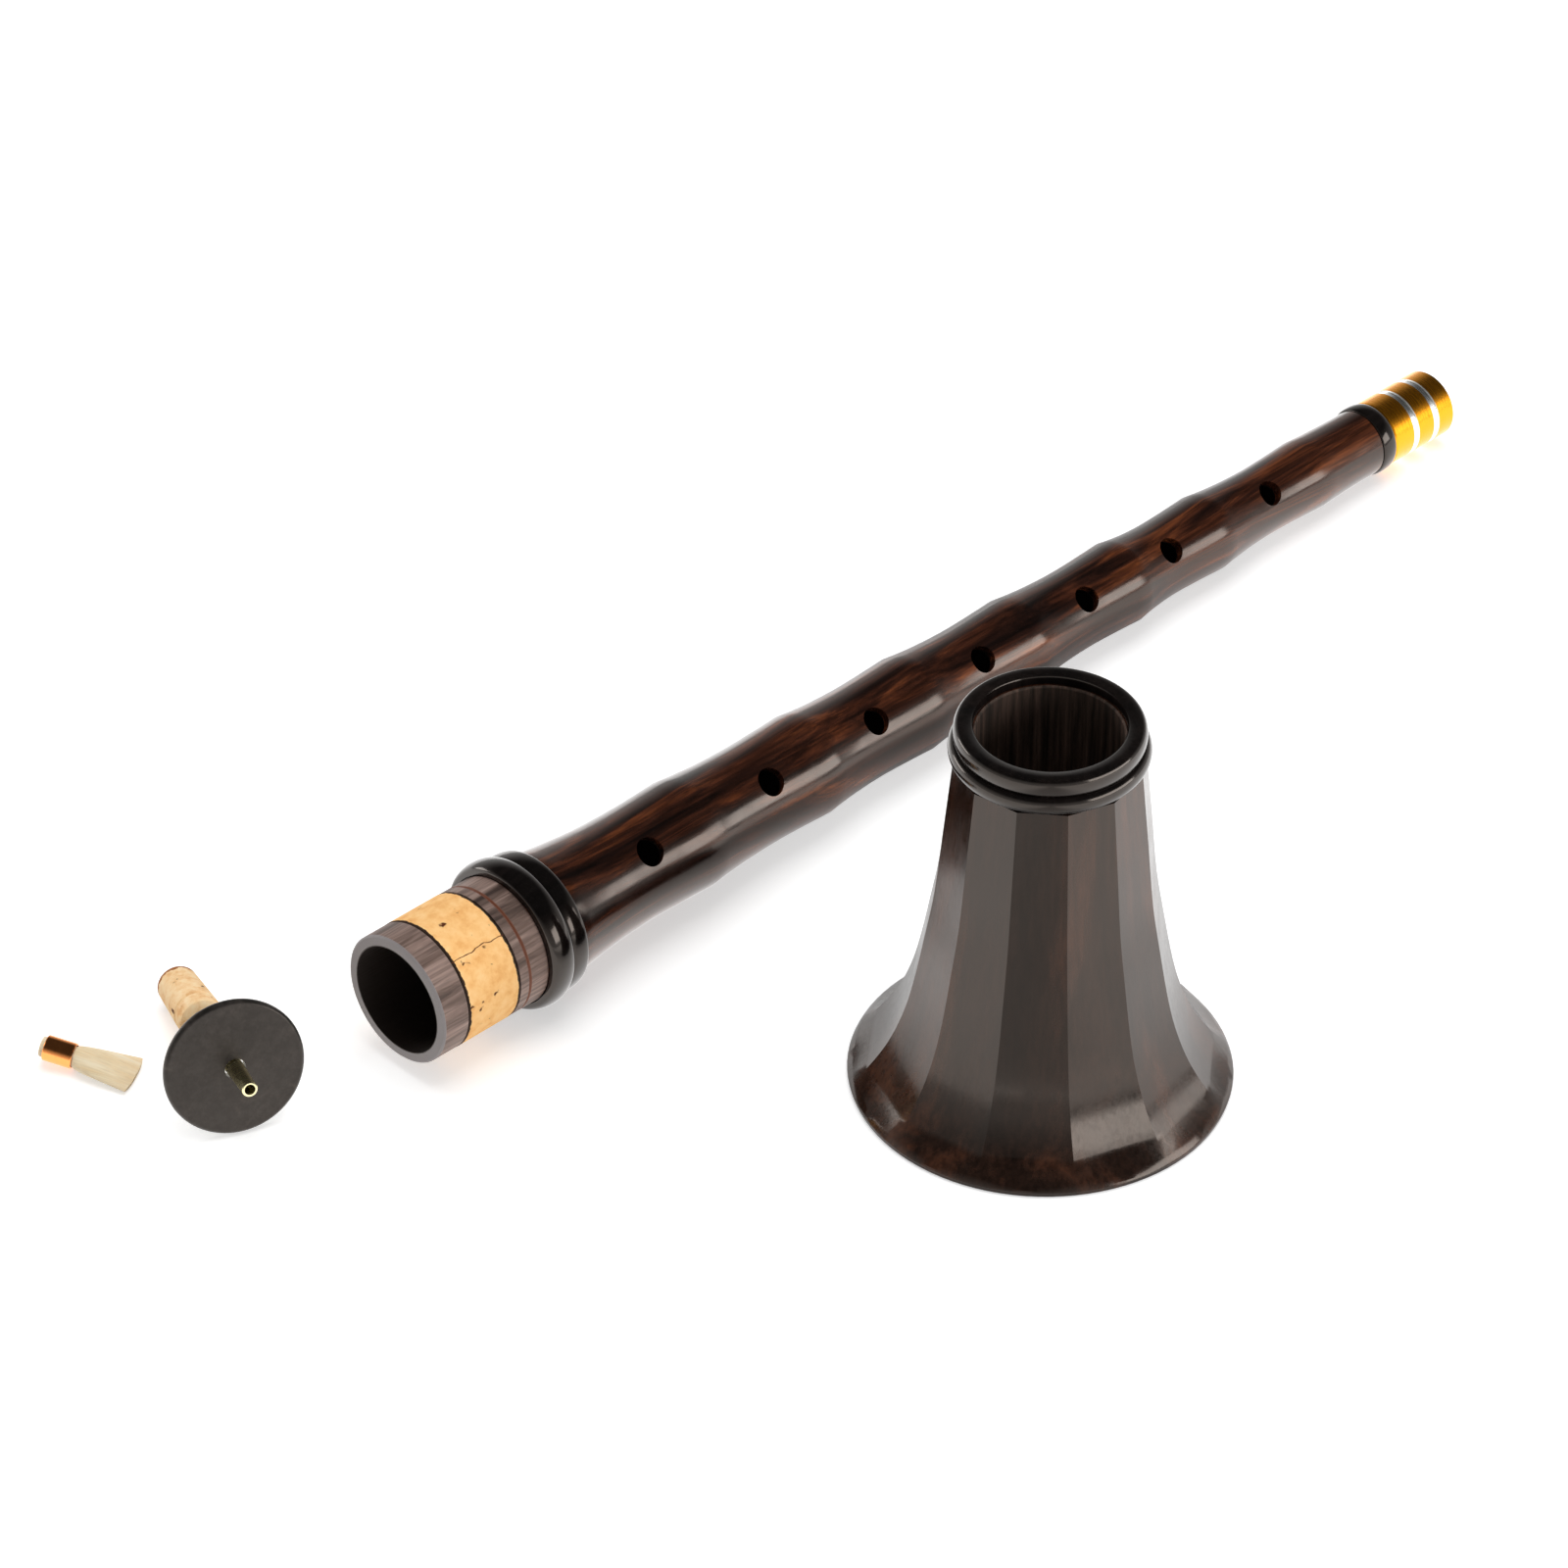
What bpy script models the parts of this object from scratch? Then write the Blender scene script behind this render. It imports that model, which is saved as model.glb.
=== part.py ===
"""A suona taken apart: the tube lies on the floor, the bell stands on its foot, the staple and reed lie beside.

Metres, +Z up. Every round piece is an outline of (station, radius) pairs turned about its own axis, with stations
measured from the end that the comment names.
"""
import math

import bmesh
import bpy
from mathutils import Matrix, Vector

GAP = 0.0003                    # between the surfaces of pieces that touch
EDGE = 0.0004                   # small chamfers on turned ends

# Tube, stations from its bell end
TUBE_LENGTH = 0.340             # with the sleeve on
TUBE_SIDES = 32
TENON_RADIUS = 0.0152
TENON_LENGTH = 0.0305           # what goes into the bell
CORK_START = 0.0070
CORK_LENGTH = 0.0154
CORK_THICKNESS = 0.0013
SCRIBE_STATION = 0.0252         # a fine turned line between cork and ring
SCRIBE_DEPTH = 0.0003
SCRIBE_WIDTH = 0.0006
TENON_RING_BEADS = ((0.0065, 0.0178), (0.0044, 0.0168))      # length and crest radius of each bead
TENON_RING_GROOVE_RADIUS = 0.0163
FINGER_HOLES = (0.0675, 0.1055, 0.1395, 0.1750, 0.2105, 0.2400, 0.2755)
FINGER_HOLE_RADIUS_FOOT = 0.0034
FINGER_HOLE_RADIUS_HEAD = 0.0031
FINGER_HOLES_TURN = math.radians(42)     # how far the row of holes is rolled from the top of the lying tube
THUMB_HOLE_STATION = 0.2620
WAIST_AFTER_HOLE = 0.0025       # the outline is slimmest just past each hole
RIDGE_AFTER_HOLE = 0.0178       # and has a bamboo-like ridge further on
WAIST_RADIUS_FOOT = 0.0128
WAIST_RADIUS_HEAD = 0.0083
RIDGE_RADIUS_FOOT = 0.0132
RIDGE_RADIUS_HEAD = 0.0089
BORE_RADIUS_FOOT = 0.0127
BORE_RADIUS_HEAD = 0.0046
SOCKET_RADIUS = 0.0056          # takes the staple's cork
SOCKET_DEPTH = 0.0240
SPIGOT_RADIUS = 0.0069
HEAD_RING_LENGTH = 0.0043
HEAD_RING_RADIUS = 0.00885
HEAD_RING_EDGE_RADIUS = 0.00835
SLEEVE_LENGTH = 0.0212
SLEEVE_RADIUS = 0.00836
SLEEVE_LIP = 0.0010
SLEEVE_GROOVES = (0.0065, 0.0138)        # from the sleeve's lower end
SLEEVE_GROOVE_WIDTH = 0.0019
SLEEVE_GROOVE_DEPTH = 0.00035

# Bell, heights from its foot
BELL_HEIGHT = 0.0945
BELL_FACETS = 12
POINTS_PER_FACET = 4
BELL_TURN = math.radians(-6)
BELL_FOOT_RADIUS = 0.0424
BELL_RIM_THICKNESS = 0.0014
BELL_RIM_WIDTH = 0.0026         # the flat ring that it stands on
BELL_OUTLINE = (                # height, radius to the corners, from the flare up to the neck ring
    (0.0026, 0.0409), (0.0050, 0.0384), (0.0085, 0.0358), (0.0125, 0.0334), (0.0175, 0.0312),
    (0.0230, 0.0294), (0.0300, 0.0278), (0.0400, 0.0260), (0.0520, 0.0240), (0.0680, 0.0224),
)
BELL_SHOULDER_RADIUS = 0.0206   # just under the neck ring
BELL_WALL = 0.0048
BELL_FIT = 0.0004               # room between tenon and socket
BELL_NECK_RADIUS = 0.0182
BELL_CAP_THICKNESS = 0.0020     # the neck ring laps over the wood's end
BELL_CAP_RADIUS = 0.0162        # and leaves this opening
BELL_RING_BEADS = ((0.0042, 0.0214), (0.0042, 0.0204))
BELL_RING_GROOVE_RADIUS = 0.0199

# Staple, stations from the tip that the reed goes on
STAPLE_LENGTH = 0.0575
STAPLE_SIDES = 24
STAPLE_TIP_RADIUS = 0.0017
STAPLE_END_RADIUS = 0.0031
STAPLE_BORE_TIP_RADIUS = 0.00115
STAPLE_BORE_END_RADIUS = 0.0024
DISC_STATION = 0.0110
DISC_RADIUS = 0.0156
DISC_THICKNESS = 0.0026
DISC_DOME = 0.0006
DISC_RIM_ROUNDING = 0.0011
STAPLE_CORK_LENGTH = 0.0207
STAPLE_CORK_NEAR_RADIUS = 0.0053
STAPLE_CORK_FAR_RADIUS = 0.0046
STAPLE_CORK_ROUNDING = 0.0010
STAPLE_CORK_INSET = 0.0006      # the tube stands this far out of the cork's far end
STAPLE_CORK_GROOVE = 0.0047     # from the cork's near end
STAPLE_CORK_GROOVE_WIDTH = 0.0009
STAPLE_CORK_GROOVE_DEPTH = 0.0004

# Reed, stations from its ferrule end
REED_LENGTH = 0.0218
REED_POINTS = 24
REED_ROOT_RADIUS = 0.00225
REED_FIT = 0.00015              # room between the reed's bore and the staple's tip
REED_TIP_HALF_WIDTH = 0.0058
REED_TIP_HALF_THICKNESS = 0.00065
REED_TIP_SLIT_HALF = 0.00030
REED_TIP_BULGE = 0.0005
FERRULE_START = 0.0010
FERRULE_LENGTH = 0.0066
FERRULE_WALL = 0.00035

# Layout on the floor, from the point under the tube's bell end, with +X along the tube
BELL_PLACE = (0.0974, -0.0987)
DISC_PLACE = (-0.0372, 0.0103)
STAPLE_HEADING = math.radians(66)        # from tip to cork
REED_PLACE = (-0.0533, 0.0563)
REED_HEADING = math.radians(-61)

# Finishes: colour, roughness, metallic
ROSEWOOD = ("rosewood", (0.075, 0.022, 0.012), 0.22, 0.0)
BLACK_WOOD = ("black_wood", (0.012, 0.009, 0.008), 0.15, 0.0)
BELL_WOOD = ("bell_wood", (0.030, 0.017, 0.012), 0.28, 0.0)
EBONY = ("ebony", (0.025, 0.026, 0.028), 0.35, 0.0)
CORK = ("cork", (0.82, 0.50, 0.22), 0.85, 0.0)
GOLD = ("gold_anodised", (0.90, 0.42, 0.05), 0.25, 1.0)
BRASS = ("brass", (0.72, 0.62, 0.34), 0.25, 1.0)
COPPER = ("copper", (0.85, 0.30, 0.10), 0.22, 1.0)
CANE = ("cane", (0.86, 0.66, 0.40), 0.65, 0.0)

TURNED_CRISP_ANGLE = math.radians(45)
FACET_CRISP_ANGLE = math.radians(25)     # keeps the bell's corners crisp
HOLE_SIDES = 20


def mix(start, end, share):
    return start + (end - start) * share


def make_finish(finish):
    name, colour, roughness, metallic = finish
    material = bpy.data.materials.get(name) or bpy.data.materials.new(name)
    material.use_nodes = True
    shader = material.node_tree.nodes["Principled BSDF"]
    shader.inputs["Base Color"].default_value = (*colour, 1.0)
    shader.inputs["Roughness"].default_value = roughness
    shader.inputs["Metallic"].default_value = metallic
    material.diffuse_color = (*colour, 1.0)
    return material


def add_piece(name, mesh, finish, frame):
    """One named object in the suona's collection, carried by its frame."""
    piece = bpy.data.objects.new(name, mesh)
    parts.objects.link(piece)
    piece.parent = frame
    mesh.materials.clear()
    mesh.materials.append(make_finish(finish))
    return piece


def smooth(mesh, crisp_angle):
    mesh.shade_smooth()
    mesh.set_sharp_from_angle(angle=crisp_angle)


def turned(name, outer, inner, sides, finish, frame):
    """Turns a closed outline about local Z; outer and inner both run from the first station to the last."""
    outline = list(reversed(outer)) + list(inner)
    points = [(radius, 0.0, station) for station, radius in outline]
    edges = [(i, (i + 1) % len(points)) for i in range(len(points))]
    mesh = bpy.data.meshes.new(name)
    mesh.from_pydata(points, edges, [])
    piece = add_piece(name, mesh, finish, frame)
    screw = piece.modifiers.new("Turn", "SCREW")
    screw.axis = "Z"
    screw.angle = 2 * math.pi
    screw.steps = sides
    screw.render_steps = sides
    screw.use_merge_vertices = True
    screw.merge_threshold = 0.00001
    evaluated = piece.evaluated_get(bpy.context.evaluated_depsgraph_get())
    solid = bpy.data.meshes.new_from_object(evaluated)
    piece.modifiers.clear()
    piece.data = solid
    smooth(solid, TURNED_CRISP_ANGLE)
    return piece


def loft(name, rings, finish, frame):
    """A closed skin through rings of equal point counts, where the last ring meets the first again."""
    bm = bmesh.new()
    loops = [[bm.verts.new(point) for point in ring] for ring in rings]
    count = len(loops[0])
    for here, there in zip(loops, loops[1:] + loops[:1]):
        for i in range(count):
            j = (i + 1) % count
            bm.faces.new((here[i], here[j], there[j], there[i]))
    bmesh.ops.recalc_face_normals(bm, faces=bm.faces)
    mesh = bpy.data.meshes.new(name)
    bm.to_mesh(mesh)
    bm.free()
    smooth(mesh, FACET_CRISP_ANGLE)
    return add_piece(name, mesh, finish, frame)


def bead(start, length, edge_radius, crest_radius, steps=6):
    """A half-round bead from start, as outline points."""
    points = []
    for i in range(steps + 1):
        turn = math.pi * i / steps
        station = start + length * (1 - math.cos(turn)) / 2
        points.append((station, edge_radius + (crest_radius - edge_radius) * math.sin(turn)))
    return points


def double_bead(start, beads, groove_radius):
    """Two beads end to end that share the groove between them."""
    (first_length, first_crest), (second_length, second_crest) = beads
    first = bead(start, first_length, groove_radius, first_crest)
    return first + bead(start + first_length, second_length, groove_radius, second_crest)[1:]


def resting_edge(outline, balance):
    """The two outline points that a lying piece rests on, one on each side of its balance point."""
    pairs = [(a, b) for a in outline if a[0] < balance for b in outline if b[0] > balance]
    return max(pairs, key=lambda ab: mix(ab[0][1], ab[1][1], (balance - ab[0][0]) / (ab[1][0] - ab[0][0])))


def lying_frame(name, place, heading, outline, balance):
    """An empty whose local Z is the axis of a piece that lies on the floor, and whose local X points down."""
    (near, near_radius), (far, far_radius) = resting_edge(outline, balance)
    tilt = math.atan2(near_radius - far_radius, far - near)
    height = near_radius * math.cos(tilt) + near * math.sin(tilt)
    axis = Vector((math.cos(heading) * math.cos(tilt), math.sin(heading) * math.cos(tilt), -math.sin(tilt)))
    down = Vector((-math.cos(heading) * math.sin(tilt), -math.sin(heading) * math.sin(tilt), -math.cos(tilt)))
    frame = bpy.data.objects.new(name, None)
    scene_collection.objects.link(frame)
    turn = Matrix((down, axis.cross(down), axis)).transposed().to_4x4()
    frame.matrix_world = Matrix.Translation((place[0], place[1], height)) @ turn
    return frame


def standing_frame(name, place):
    frame = bpy.data.objects.new(name, None)
    scene_collection.objects.link(frame)
    frame.location = (place[0], place[1], 0.0)
    return frame


def cut(piece, name, mesh, frame):
    """Takes a cutter's shape out of a piece."""
    cutter = bpy.data.objects.new(name, mesh)
    cutters.objects.link(cutter)
    cutter.parent = frame
    cutter.hide_render = True
    cutter.display_type = "WIRE"
    boolean = piece.modifiers.new(name, "BOOLEAN")
    boolean.operation = "DIFFERENCE"
    boolean.solver = "EXACT"
    boolean.object = cutter


# Tube

def tube_stations():
    """Stations that several pieces of the tube share."""
    ring_end = TENON_LENGTH + sum(length for length, _ in TENON_RING_BEADS)
    sleeve_start = TUBE_LENGTH - SLEEVE_LENGTH
    head_ring_start = sleeve_start - GAP - HEAD_RING_LENGTH
    return ring_end, head_ring_start, sleeve_start


def along_holes(station, foot_value, head_value):
    """A value that changes evenly from the first finger hole to the last."""
    return mix(foot_value, head_value, (station - FINGER_HOLES[0]) / (FINGER_HOLES[-1] - FINGER_HOLES[0]))


def tube_outline():
    """The wooden tube's outside, from the bell end to the head."""
    ring_end, head_ring_start, _ = tube_stations()
    cork_end = CORK_START + CORK_LENGTH
    seat_radius = TENON_RADIUS - CORK_THICKNESS - GAP
    points = [
        (0.0, TENON_RADIUS - EDGE), (EDGE, TENON_RADIUS),
        (CORK_START, TENON_RADIUS), (CORK_START, seat_radius), (cork_end, seat_radius), (cork_end, TENON_RADIUS),
        (SCRIBE_STATION - SCRIBE_WIDTH / 2, TENON_RADIUS), (SCRIBE_STATION, TENON_RADIUS - SCRIBE_DEPTH),
        (SCRIBE_STATION + SCRIBE_WIDTH / 2, TENON_RADIUS), (ring_end, TENON_RADIUS),
    ]
    station, radius = points[-1]
    for hole in FINGER_HOLES:
        waist = hole + WAIST_AFTER_HOLE
        waist_radius = along_holes(hole, WAIST_RADIUS_FOOT, WAIST_RADIUS_HEAD)
        for share in (0.25, 0.6, 1.0):
            fall = (1 - share) ** 2
            points.append((mix(station, waist, share), mix(waist_radius, radius, fall)))
        ridge = hole + RIDGE_AFTER_HOLE
        ridge_radius = along_holes(hole, RIDGE_RADIUS_FOOT, RIDGE_RADIUS_HEAD)
        for share in (0.55, 1.0):
            points.append((mix(waist, ridge, share), mix(waist_radius, ridge_radius, share ** 1.5)))
        station, radius = points[-1]
    shoulder = head_ring_start - GAP
    for share in (0.3, 0.65):
        points.append((mix(station, shoulder, share), mix(WAIST_RADIUS_HEAD, radius, (1 - share) ** 2)))
    points += [(shoulder, WAIST_RADIUS_HEAD), (shoulder, SPIGOT_RADIUS)]
    points.append((TUBE_LENGTH - SLEEVE_LIP - GAP, SPIGOT_RADIUS))
    return points


def tube_bore():
    spigot_end = TUBE_LENGTH - SLEEVE_LIP - GAP
    socket_start = TUBE_LENGTH - SOCKET_DEPTH
    return [(0.0, BORE_RADIUS_FOOT), (socket_start, BORE_RADIUS_HEAD), (socket_start, SOCKET_RADIUS),
            (spigot_end, SOCKET_RADIUS)]


def sleeve_outline():
    _, _, start = tube_stations()
    points = [(start, SLEEVE_RADIUS - EDGE), (start + EDGE, SLEEVE_RADIUS)]
    for groove in SLEEVE_GROOVES:
        near, far = start + groove, start + groove + SLEEVE_GROOVE_WIDTH
        low = SLEEVE_RADIUS - SLEEVE_GROOVE_DEPTH
        points += [(near, SLEEVE_RADIUS), (near, low), (far, low), (far, SLEEVE_RADIUS)]
    return points + [(TUBE_LENGTH - EDGE, SLEEVE_RADIUS), (TUBE_LENGTH, SLEEVE_RADIUS - EDGE)]


def hole_cutters():
    """One cylinder for each hole, from the bore out through one wall, in the tube's own frame."""
    bm = bmesh.new()
    up_turns = [(hole, FINGER_HOLES_TURN) for hole in FINGER_HOLES]
    for station, turn in up_turns + [(THUMB_HOLE_STATION, FINGER_HOLES_TURN + math.pi)]:
        radius = along_holes(station, FINGER_HOLE_RADIUS_FOOT, FINGER_HOLE_RADIUS_HEAD)
        reach = TENON_RADIUS * 1.5
        outward = Vector((-math.cos(turn), -math.sin(turn), 0.0))
        place = Matrix.Translation(outward * reach / 2 + Vector((0, 0, station)))
        aim = outward.to_track_quat("Z", "Y").to_matrix().to_4x4()
        bmesh.ops.create_cone(bm, cap_ends=True, segments=HOLE_SIDES, radius1=radius, radius2=radius,
                              depth=reach, matrix=place @ aim)
    mesh = bpy.data.meshes.new("holes")
    bm.to_mesh(mesh)
    bm.free()
    return mesh


def make_tube():
    ring_end, head_ring_start, sleeve_start = tube_stations()
    cork_end = CORK_START + CORK_LENGTH
    ring = double_bead(TENON_LENGTH, TENON_RING_BEADS, TENON_RING_GROOVE_RADIUS)
    outside = tube_outline()
    frame = lying_frame("tube_frame", (0.0, 0.0), 0.0, outside + ring + sleeve_outline(), TUBE_LENGTH / 2)
    body = turned("body_tube", outside, tube_bore(), TUBE_SIDES, ROSEWOOD, frame)
    cut(body, "holes", hole_cutters(), frame)
    cork_inside = TENON_RADIUS - CORK_THICKNESS
    turned("tenon_cork", [(CORK_START + GAP, TENON_RADIUS), (cork_end - GAP, TENON_RADIUS)],
           [(CORK_START + GAP, cork_inside), (cork_end - GAP, cork_inside)], TUBE_SIDES, CORK, frame)
    inside = TENON_RADIUS + GAP
    turned("tenon_ring", ring, [(TENON_LENGTH, inside), (ring_end, inside)], TUBE_SIDES, BLACK_WOOD, frame)
    inside = SPIGOT_RADIUS + GAP
    turned("head_ring", bead(head_ring_start, HEAD_RING_LENGTH, HEAD_RING_EDGE_RADIUS, HEAD_RING_RADIUS),
           [(head_ring_start, inside), (sleeve_start - GAP, inside)], TUBE_SIDES, BLACK_WOOD, frame)
    lip_start = TUBE_LENGTH - SLEEVE_LIP
    turned("head_sleeve", sleeve_outline(),
           [(sleeve_start, inside), (lip_start, inside), (lip_start, SOCKET_RADIUS), (TUBE_LENGTH, SOCKET_RADIUS)],
           TUBE_SIDES, GOLD, frame)
    return frame


# Bell

def bell_section(height, radius, roundness):
    """A ring of points: flat sides at roundness 0 and a circle at roundness 1."""
    half_facet = math.pi / BELL_FACETS
    count = BELL_FACETS * POINTS_PER_FACET
    points = []
    for i in range(count):
        angle = 2 * math.pi * i / count
        within = angle % (2 * half_facet) - half_facet
        flat = radius * math.cos(half_facet) / math.cos(within)
        reach = mix(flat, radius, roundness)
        points.append(Vector((reach * math.cos(angle + BELL_TURN), reach * math.sin(angle + BELL_TURN), height)))
    return points


def make_bell():
    frame = standing_frame("bell_frame", BELL_PLACE)
    ring_start = BELL_HEIGHT - sum(length for length, _ in BELL_RING_BEADS)
    shoulder = ring_start - GAP
    wood_top = BELL_HEIGHT - BELL_CAP_THICKNESS - GAP
    outer = [(0.0, BELL_FOOT_RADIUS, 1.0), (BELL_RIM_THICKNESS, BELL_FOOT_RADIUS, 1.0)]
    outer += [(height, radius, 0.6 if i == 0 else 0.0) for i, (height, radius) in enumerate(BELL_OUTLINE)]
    outer += [(shoulder, BELL_SHOULDER_RADIUS, 0.0), (shoulder, BELL_NECK_RADIUS, 1.0)]
    outer.append((wood_top, BELL_NECK_RADIUS, 1.0))
    socket_radius = TENON_RADIUS + BELL_FIT
    socket_floor = BELL_HEIGHT - TENON_LENGTH
    inner = [(wood_top, socket_radius, 1.0), (socket_floor, socket_radius, 1.0)]
    inner.append((socket_floor, BORE_RADIUS_FOOT, 1.0))
    flare = [(height, radius) for height, radius in reversed(BELL_OUTLINE) if height < socket_floor - 2 * BELL_WALL]
    inner += [(height, radius - BELL_WALL, 1.0) for height, radius in flare]
    inner.append((0.0, BELL_FOOT_RADIUS - BELL_RIM_WIDTH, 1.0))
    loft("bell", [bell_section(*section) for section in outer + inner], BELL_WOOD, frame)

    ring = double_bead(ring_start, BELL_RING_BEADS, BELL_RING_GROOVE_RADIUS)
    crest = max(range(len(ring)), key=lambda i: (ring[i][0] > ring_start + BELL_RING_BEADS[0][0]) * ring[i][1])
    top = [(BELL_HEIGHT, BELL_CAP_RADIUS + EDGE)]
    cap_side = [(ring_start, BELL_NECK_RADIUS + GAP), (BELL_HEIGHT - BELL_CAP_THICKNESS, BELL_NECK_RADIUS + GAP),
                (BELL_HEIGHT - BELL_CAP_THICKNESS, BELL_CAP_RADIUS), (BELL_HEIGHT - EDGE, BELL_CAP_RADIUS)]
    shoulder_round = [(mix(ring[crest][0], BELL_HEIGHT, math.sin(turn)),
                       mix(BELL_RING_GROOVE_RADIUS - EDGE, ring[crest][1], math.cos(turn)))
                      for turn in (math.radians(30), math.radians(60), math.radians(90))]
    turned("bell_ring", ring[:crest + 1] + shoulder_round + top, cap_side, BELL_FACETS * POINTS_PER_FACET,
           BLACK_WOOD, frame)
    return frame


# Staple

def staple_radius(station):
    return mix(STAPLE_TIP_RADIUS, STAPLE_END_RADIUS, station / STAPLE_LENGTH)


def cork_ends():
    far = STAPLE_LENGTH - STAPLE_CORK_INSET
    return far - STAPLE_CORK_LENGTH, far


def disc_outline():
    """The lip disc's outside, from its domed front round the rim to its flat back."""
    back = DISC_STATION + DISC_THICKNESS
    middle = back - DISC_RIM_ROUNDING
    rim_centre = DISC_RADIUS - DISC_RIM_ROUNDING
    front = [(DISC_STATION, staple_radius(back) + GAP)]
    front.append((DISC_STATION + DISC_DOME * 0.35, rim_centre * 0.6))
    rim = [(middle - DISC_RIM_ROUNDING * math.cos(turn), rim_centre + DISC_RIM_ROUNDING * math.sin(turn))
           for turn in (math.radians(angle) for angle in range(20, 181, 20))]
    return front + rim


def cork_outline():
    near, far = cork_ends()
    points = [(near, STAPLE_CORK_NEAR_RADIUS - STAPLE_CORK_ROUNDING),
              (near + STAPLE_CORK_ROUNDING * 0.3, STAPLE_CORK_NEAR_RADIUS - STAPLE_CORK_ROUNDING * 0.3),
              (near + STAPLE_CORK_ROUNDING, STAPLE_CORK_NEAR_RADIUS)]
    middle = near + STAPLE_CORK_GROOVE
    half = STAPLE_CORK_GROOVE_WIDTH / 2
    for station, depth in ((middle - half, 0.0), (middle, STAPLE_CORK_GROOVE_DEPTH), (middle + half, 0.0)):
        share = (station - near) / (far - near)
        points.append((station, mix(STAPLE_CORK_NEAR_RADIUS, STAPLE_CORK_FAR_RADIUS, share) - depth))
    return points + [(far - EDGE, STAPLE_CORK_FAR_RADIUS), (far, STAPLE_CORK_FAR_RADIUS - EDGE)]


def make_staple():
    near, far = cork_ends()
    back = DISC_STATION + DISC_THICKNESS
    balance = mix(back, far, 0.3)
    frame = lying_frame("staple_frame", (0.0, 0.0), STAPLE_HEADING, disc_outline() + cork_outline(), balance)
    disc_offset = frame.matrix_world.to_3x3() @ Vector((0.0, 0.0, DISC_STATION))
    frame.location.x = DISC_PLACE[0] - disc_offset.x
    frame.location.y = DISC_PLACE[1] - disc_offset.y
    turned("staple_tube",
           [(0.0, STAPLE_TIP_RADIUS - EDGE / 2), (EDGE / 2, STAPLE_TIP_RADIUS), (STAPLE_LENGTH, STAPLE_END_RADIUS)],
           [(0.0, STAPLE_BORE_TIP_RADIUS), (STAPLE_LENGTH, STAPLE_BORE_END_RADIUS)], STAPLE_SIDES, BRASS, frame)
    turned("staple_cork", cork_outline(), [(near, staple_radius(near) + GAP), (far, staple_radius(far) + GAP)],
           STAPLE_SIDES, CORK, frame)
    hole = staple_radius(back) + GAP
    turned("lip_disc", disc_outline(), [(back, hole)], TUBE_SIDES, EBONY, frame)
    return frame


# Reed

def reed_section(station, half_width, half_thickness, bulge=0.0):
    """A lens-shaped ring of points, whose middle stands forward by the bulge."""
    points = []
    for i in range(REED_POINTS):
        angle = 2 * math.pi * i / REED_POINTS
        forward = bulge * math.sin(angle) ** 2
        points.append(Vector((half_thickness * math.cos(angle), half_width * math.sin(angle), station - forward)))
    return points


def reed_half_sizes(station):
    """Half width and half thickness of the cane, round at its root and flat at its tip."""
    root_end = FERRULE_START + FERRULE_LENGTH
    share = max(0.0, (station - root_end) / (REED_LENGTH - root_end))
    return (mix(REED_ROOT_RADIUS, REED_TIP_HALF_WIDTH, share ** 0.5),
            mix(REED_ROOT_RADIUS, REED_TIP_HALF_THICKNESS, share ** 1.1))


def make_reed():
    root_end = FERRULE_START + FERRULE_LENGTH
    ferrule_radius = REED_ROOT_RADIUS + GAP + FERRULE_WALL
    ferrule = [(FERRULE_START, ferrule_radius), (root_end, ferrule_radius)]
    frame = lying_frame("reed_frame", REED_PLACE, REED_HEADING,
                        ferrule + [(REED_LENGTH, REED_TIP_HALF_THICKNESS)], mix(root_end, REED_LENGTH, 0.3))
    stations = [mix(root_end, REED_LENGTH, share) for share in (0.0, 0.15, 0.35, 0.65, 1.0)]
    bore_radius = STAPLE_TIP_RADIUS + REED_FIT
    root_wall = REED_ROOT_RADIUS - bore_radius
    tip_wall = REED_TIP_HALF_THICKNESS - REED_TIP_SLIT_HALF
    outer = [reed_section(0.0, REED_ROOT_RADIUS, REED_ROOT_RADIUS)]
    inner = []
    for station in stations:
        share = (station - root_end) / (REED_LENGTH - root_end)
        width, thickness = reed_half_sizes(station)
        wall = mix(root_wall, tip_wall, share)
        bulge = REED_TIP_BULGE if station == stations[-1] else 0.0
        outer.append(reed_section(station, width, thickness, bulge))
        inner.insert(0, reed_section(station, width - wall, thickness - wall, bulge))
    inner.append(reed_section(0.0, bore_radius, bore_radius))
    loft("reed_cane", outer + inner, CANE, frame)
    inside = REED_ROOT_RADIUS + GAP
    turned("reed_ferrule", ferrule, [(FERRULE_START, inside), (root_end, inside)], REED_POINTS, COPPER, frame)
    return frame


def centre_on_origin(frames):
    """Moves everything so that the middle of the whole box is above the origin."""
    depsgraph = bpy.context.evaluated_depsgraph_get()
    corners = []
    for piece in parts.objects:
        solid = piece.evaluated_get(depsgraph)
        corners += [solid.matrix_world @ vertex.co for vertex in solid.data.vertices]
    for frame in frames:
        frame.location.x -= (min(c.x for c in corners) + max(c.x for c in corners)) / 2
        frame.location.y -= (min(c.y for c in corners) + max(c.y for c in corners)) / 2


for old in list(bpy.data.objects):
    bpy.data.objects.remove(old, do_unlink=True)
scene_collection = bpy.context.scene.collection
parts = bpy.data.collections.new("suona")
cutters = bpy.data.collections.new("suona_cutters")
scene_collection.children.link(parts)
scene_collection.children.link(cutters)

all_frames = [make_tube(), make_bell(), make_staple(), make_reed()]
bpy.context.view_layer.update()
centre_on_origin(all_frames)
bpy.context.view_layer.update()
for piece_frame in all_frames:
    print(piece_frame.name, [round(value, 6) for value in piece_frame.matrix_world.translation],
          "axis", [round(value, 6) for value in piece_frame.matrix_world.col[2][:3]])
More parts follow.
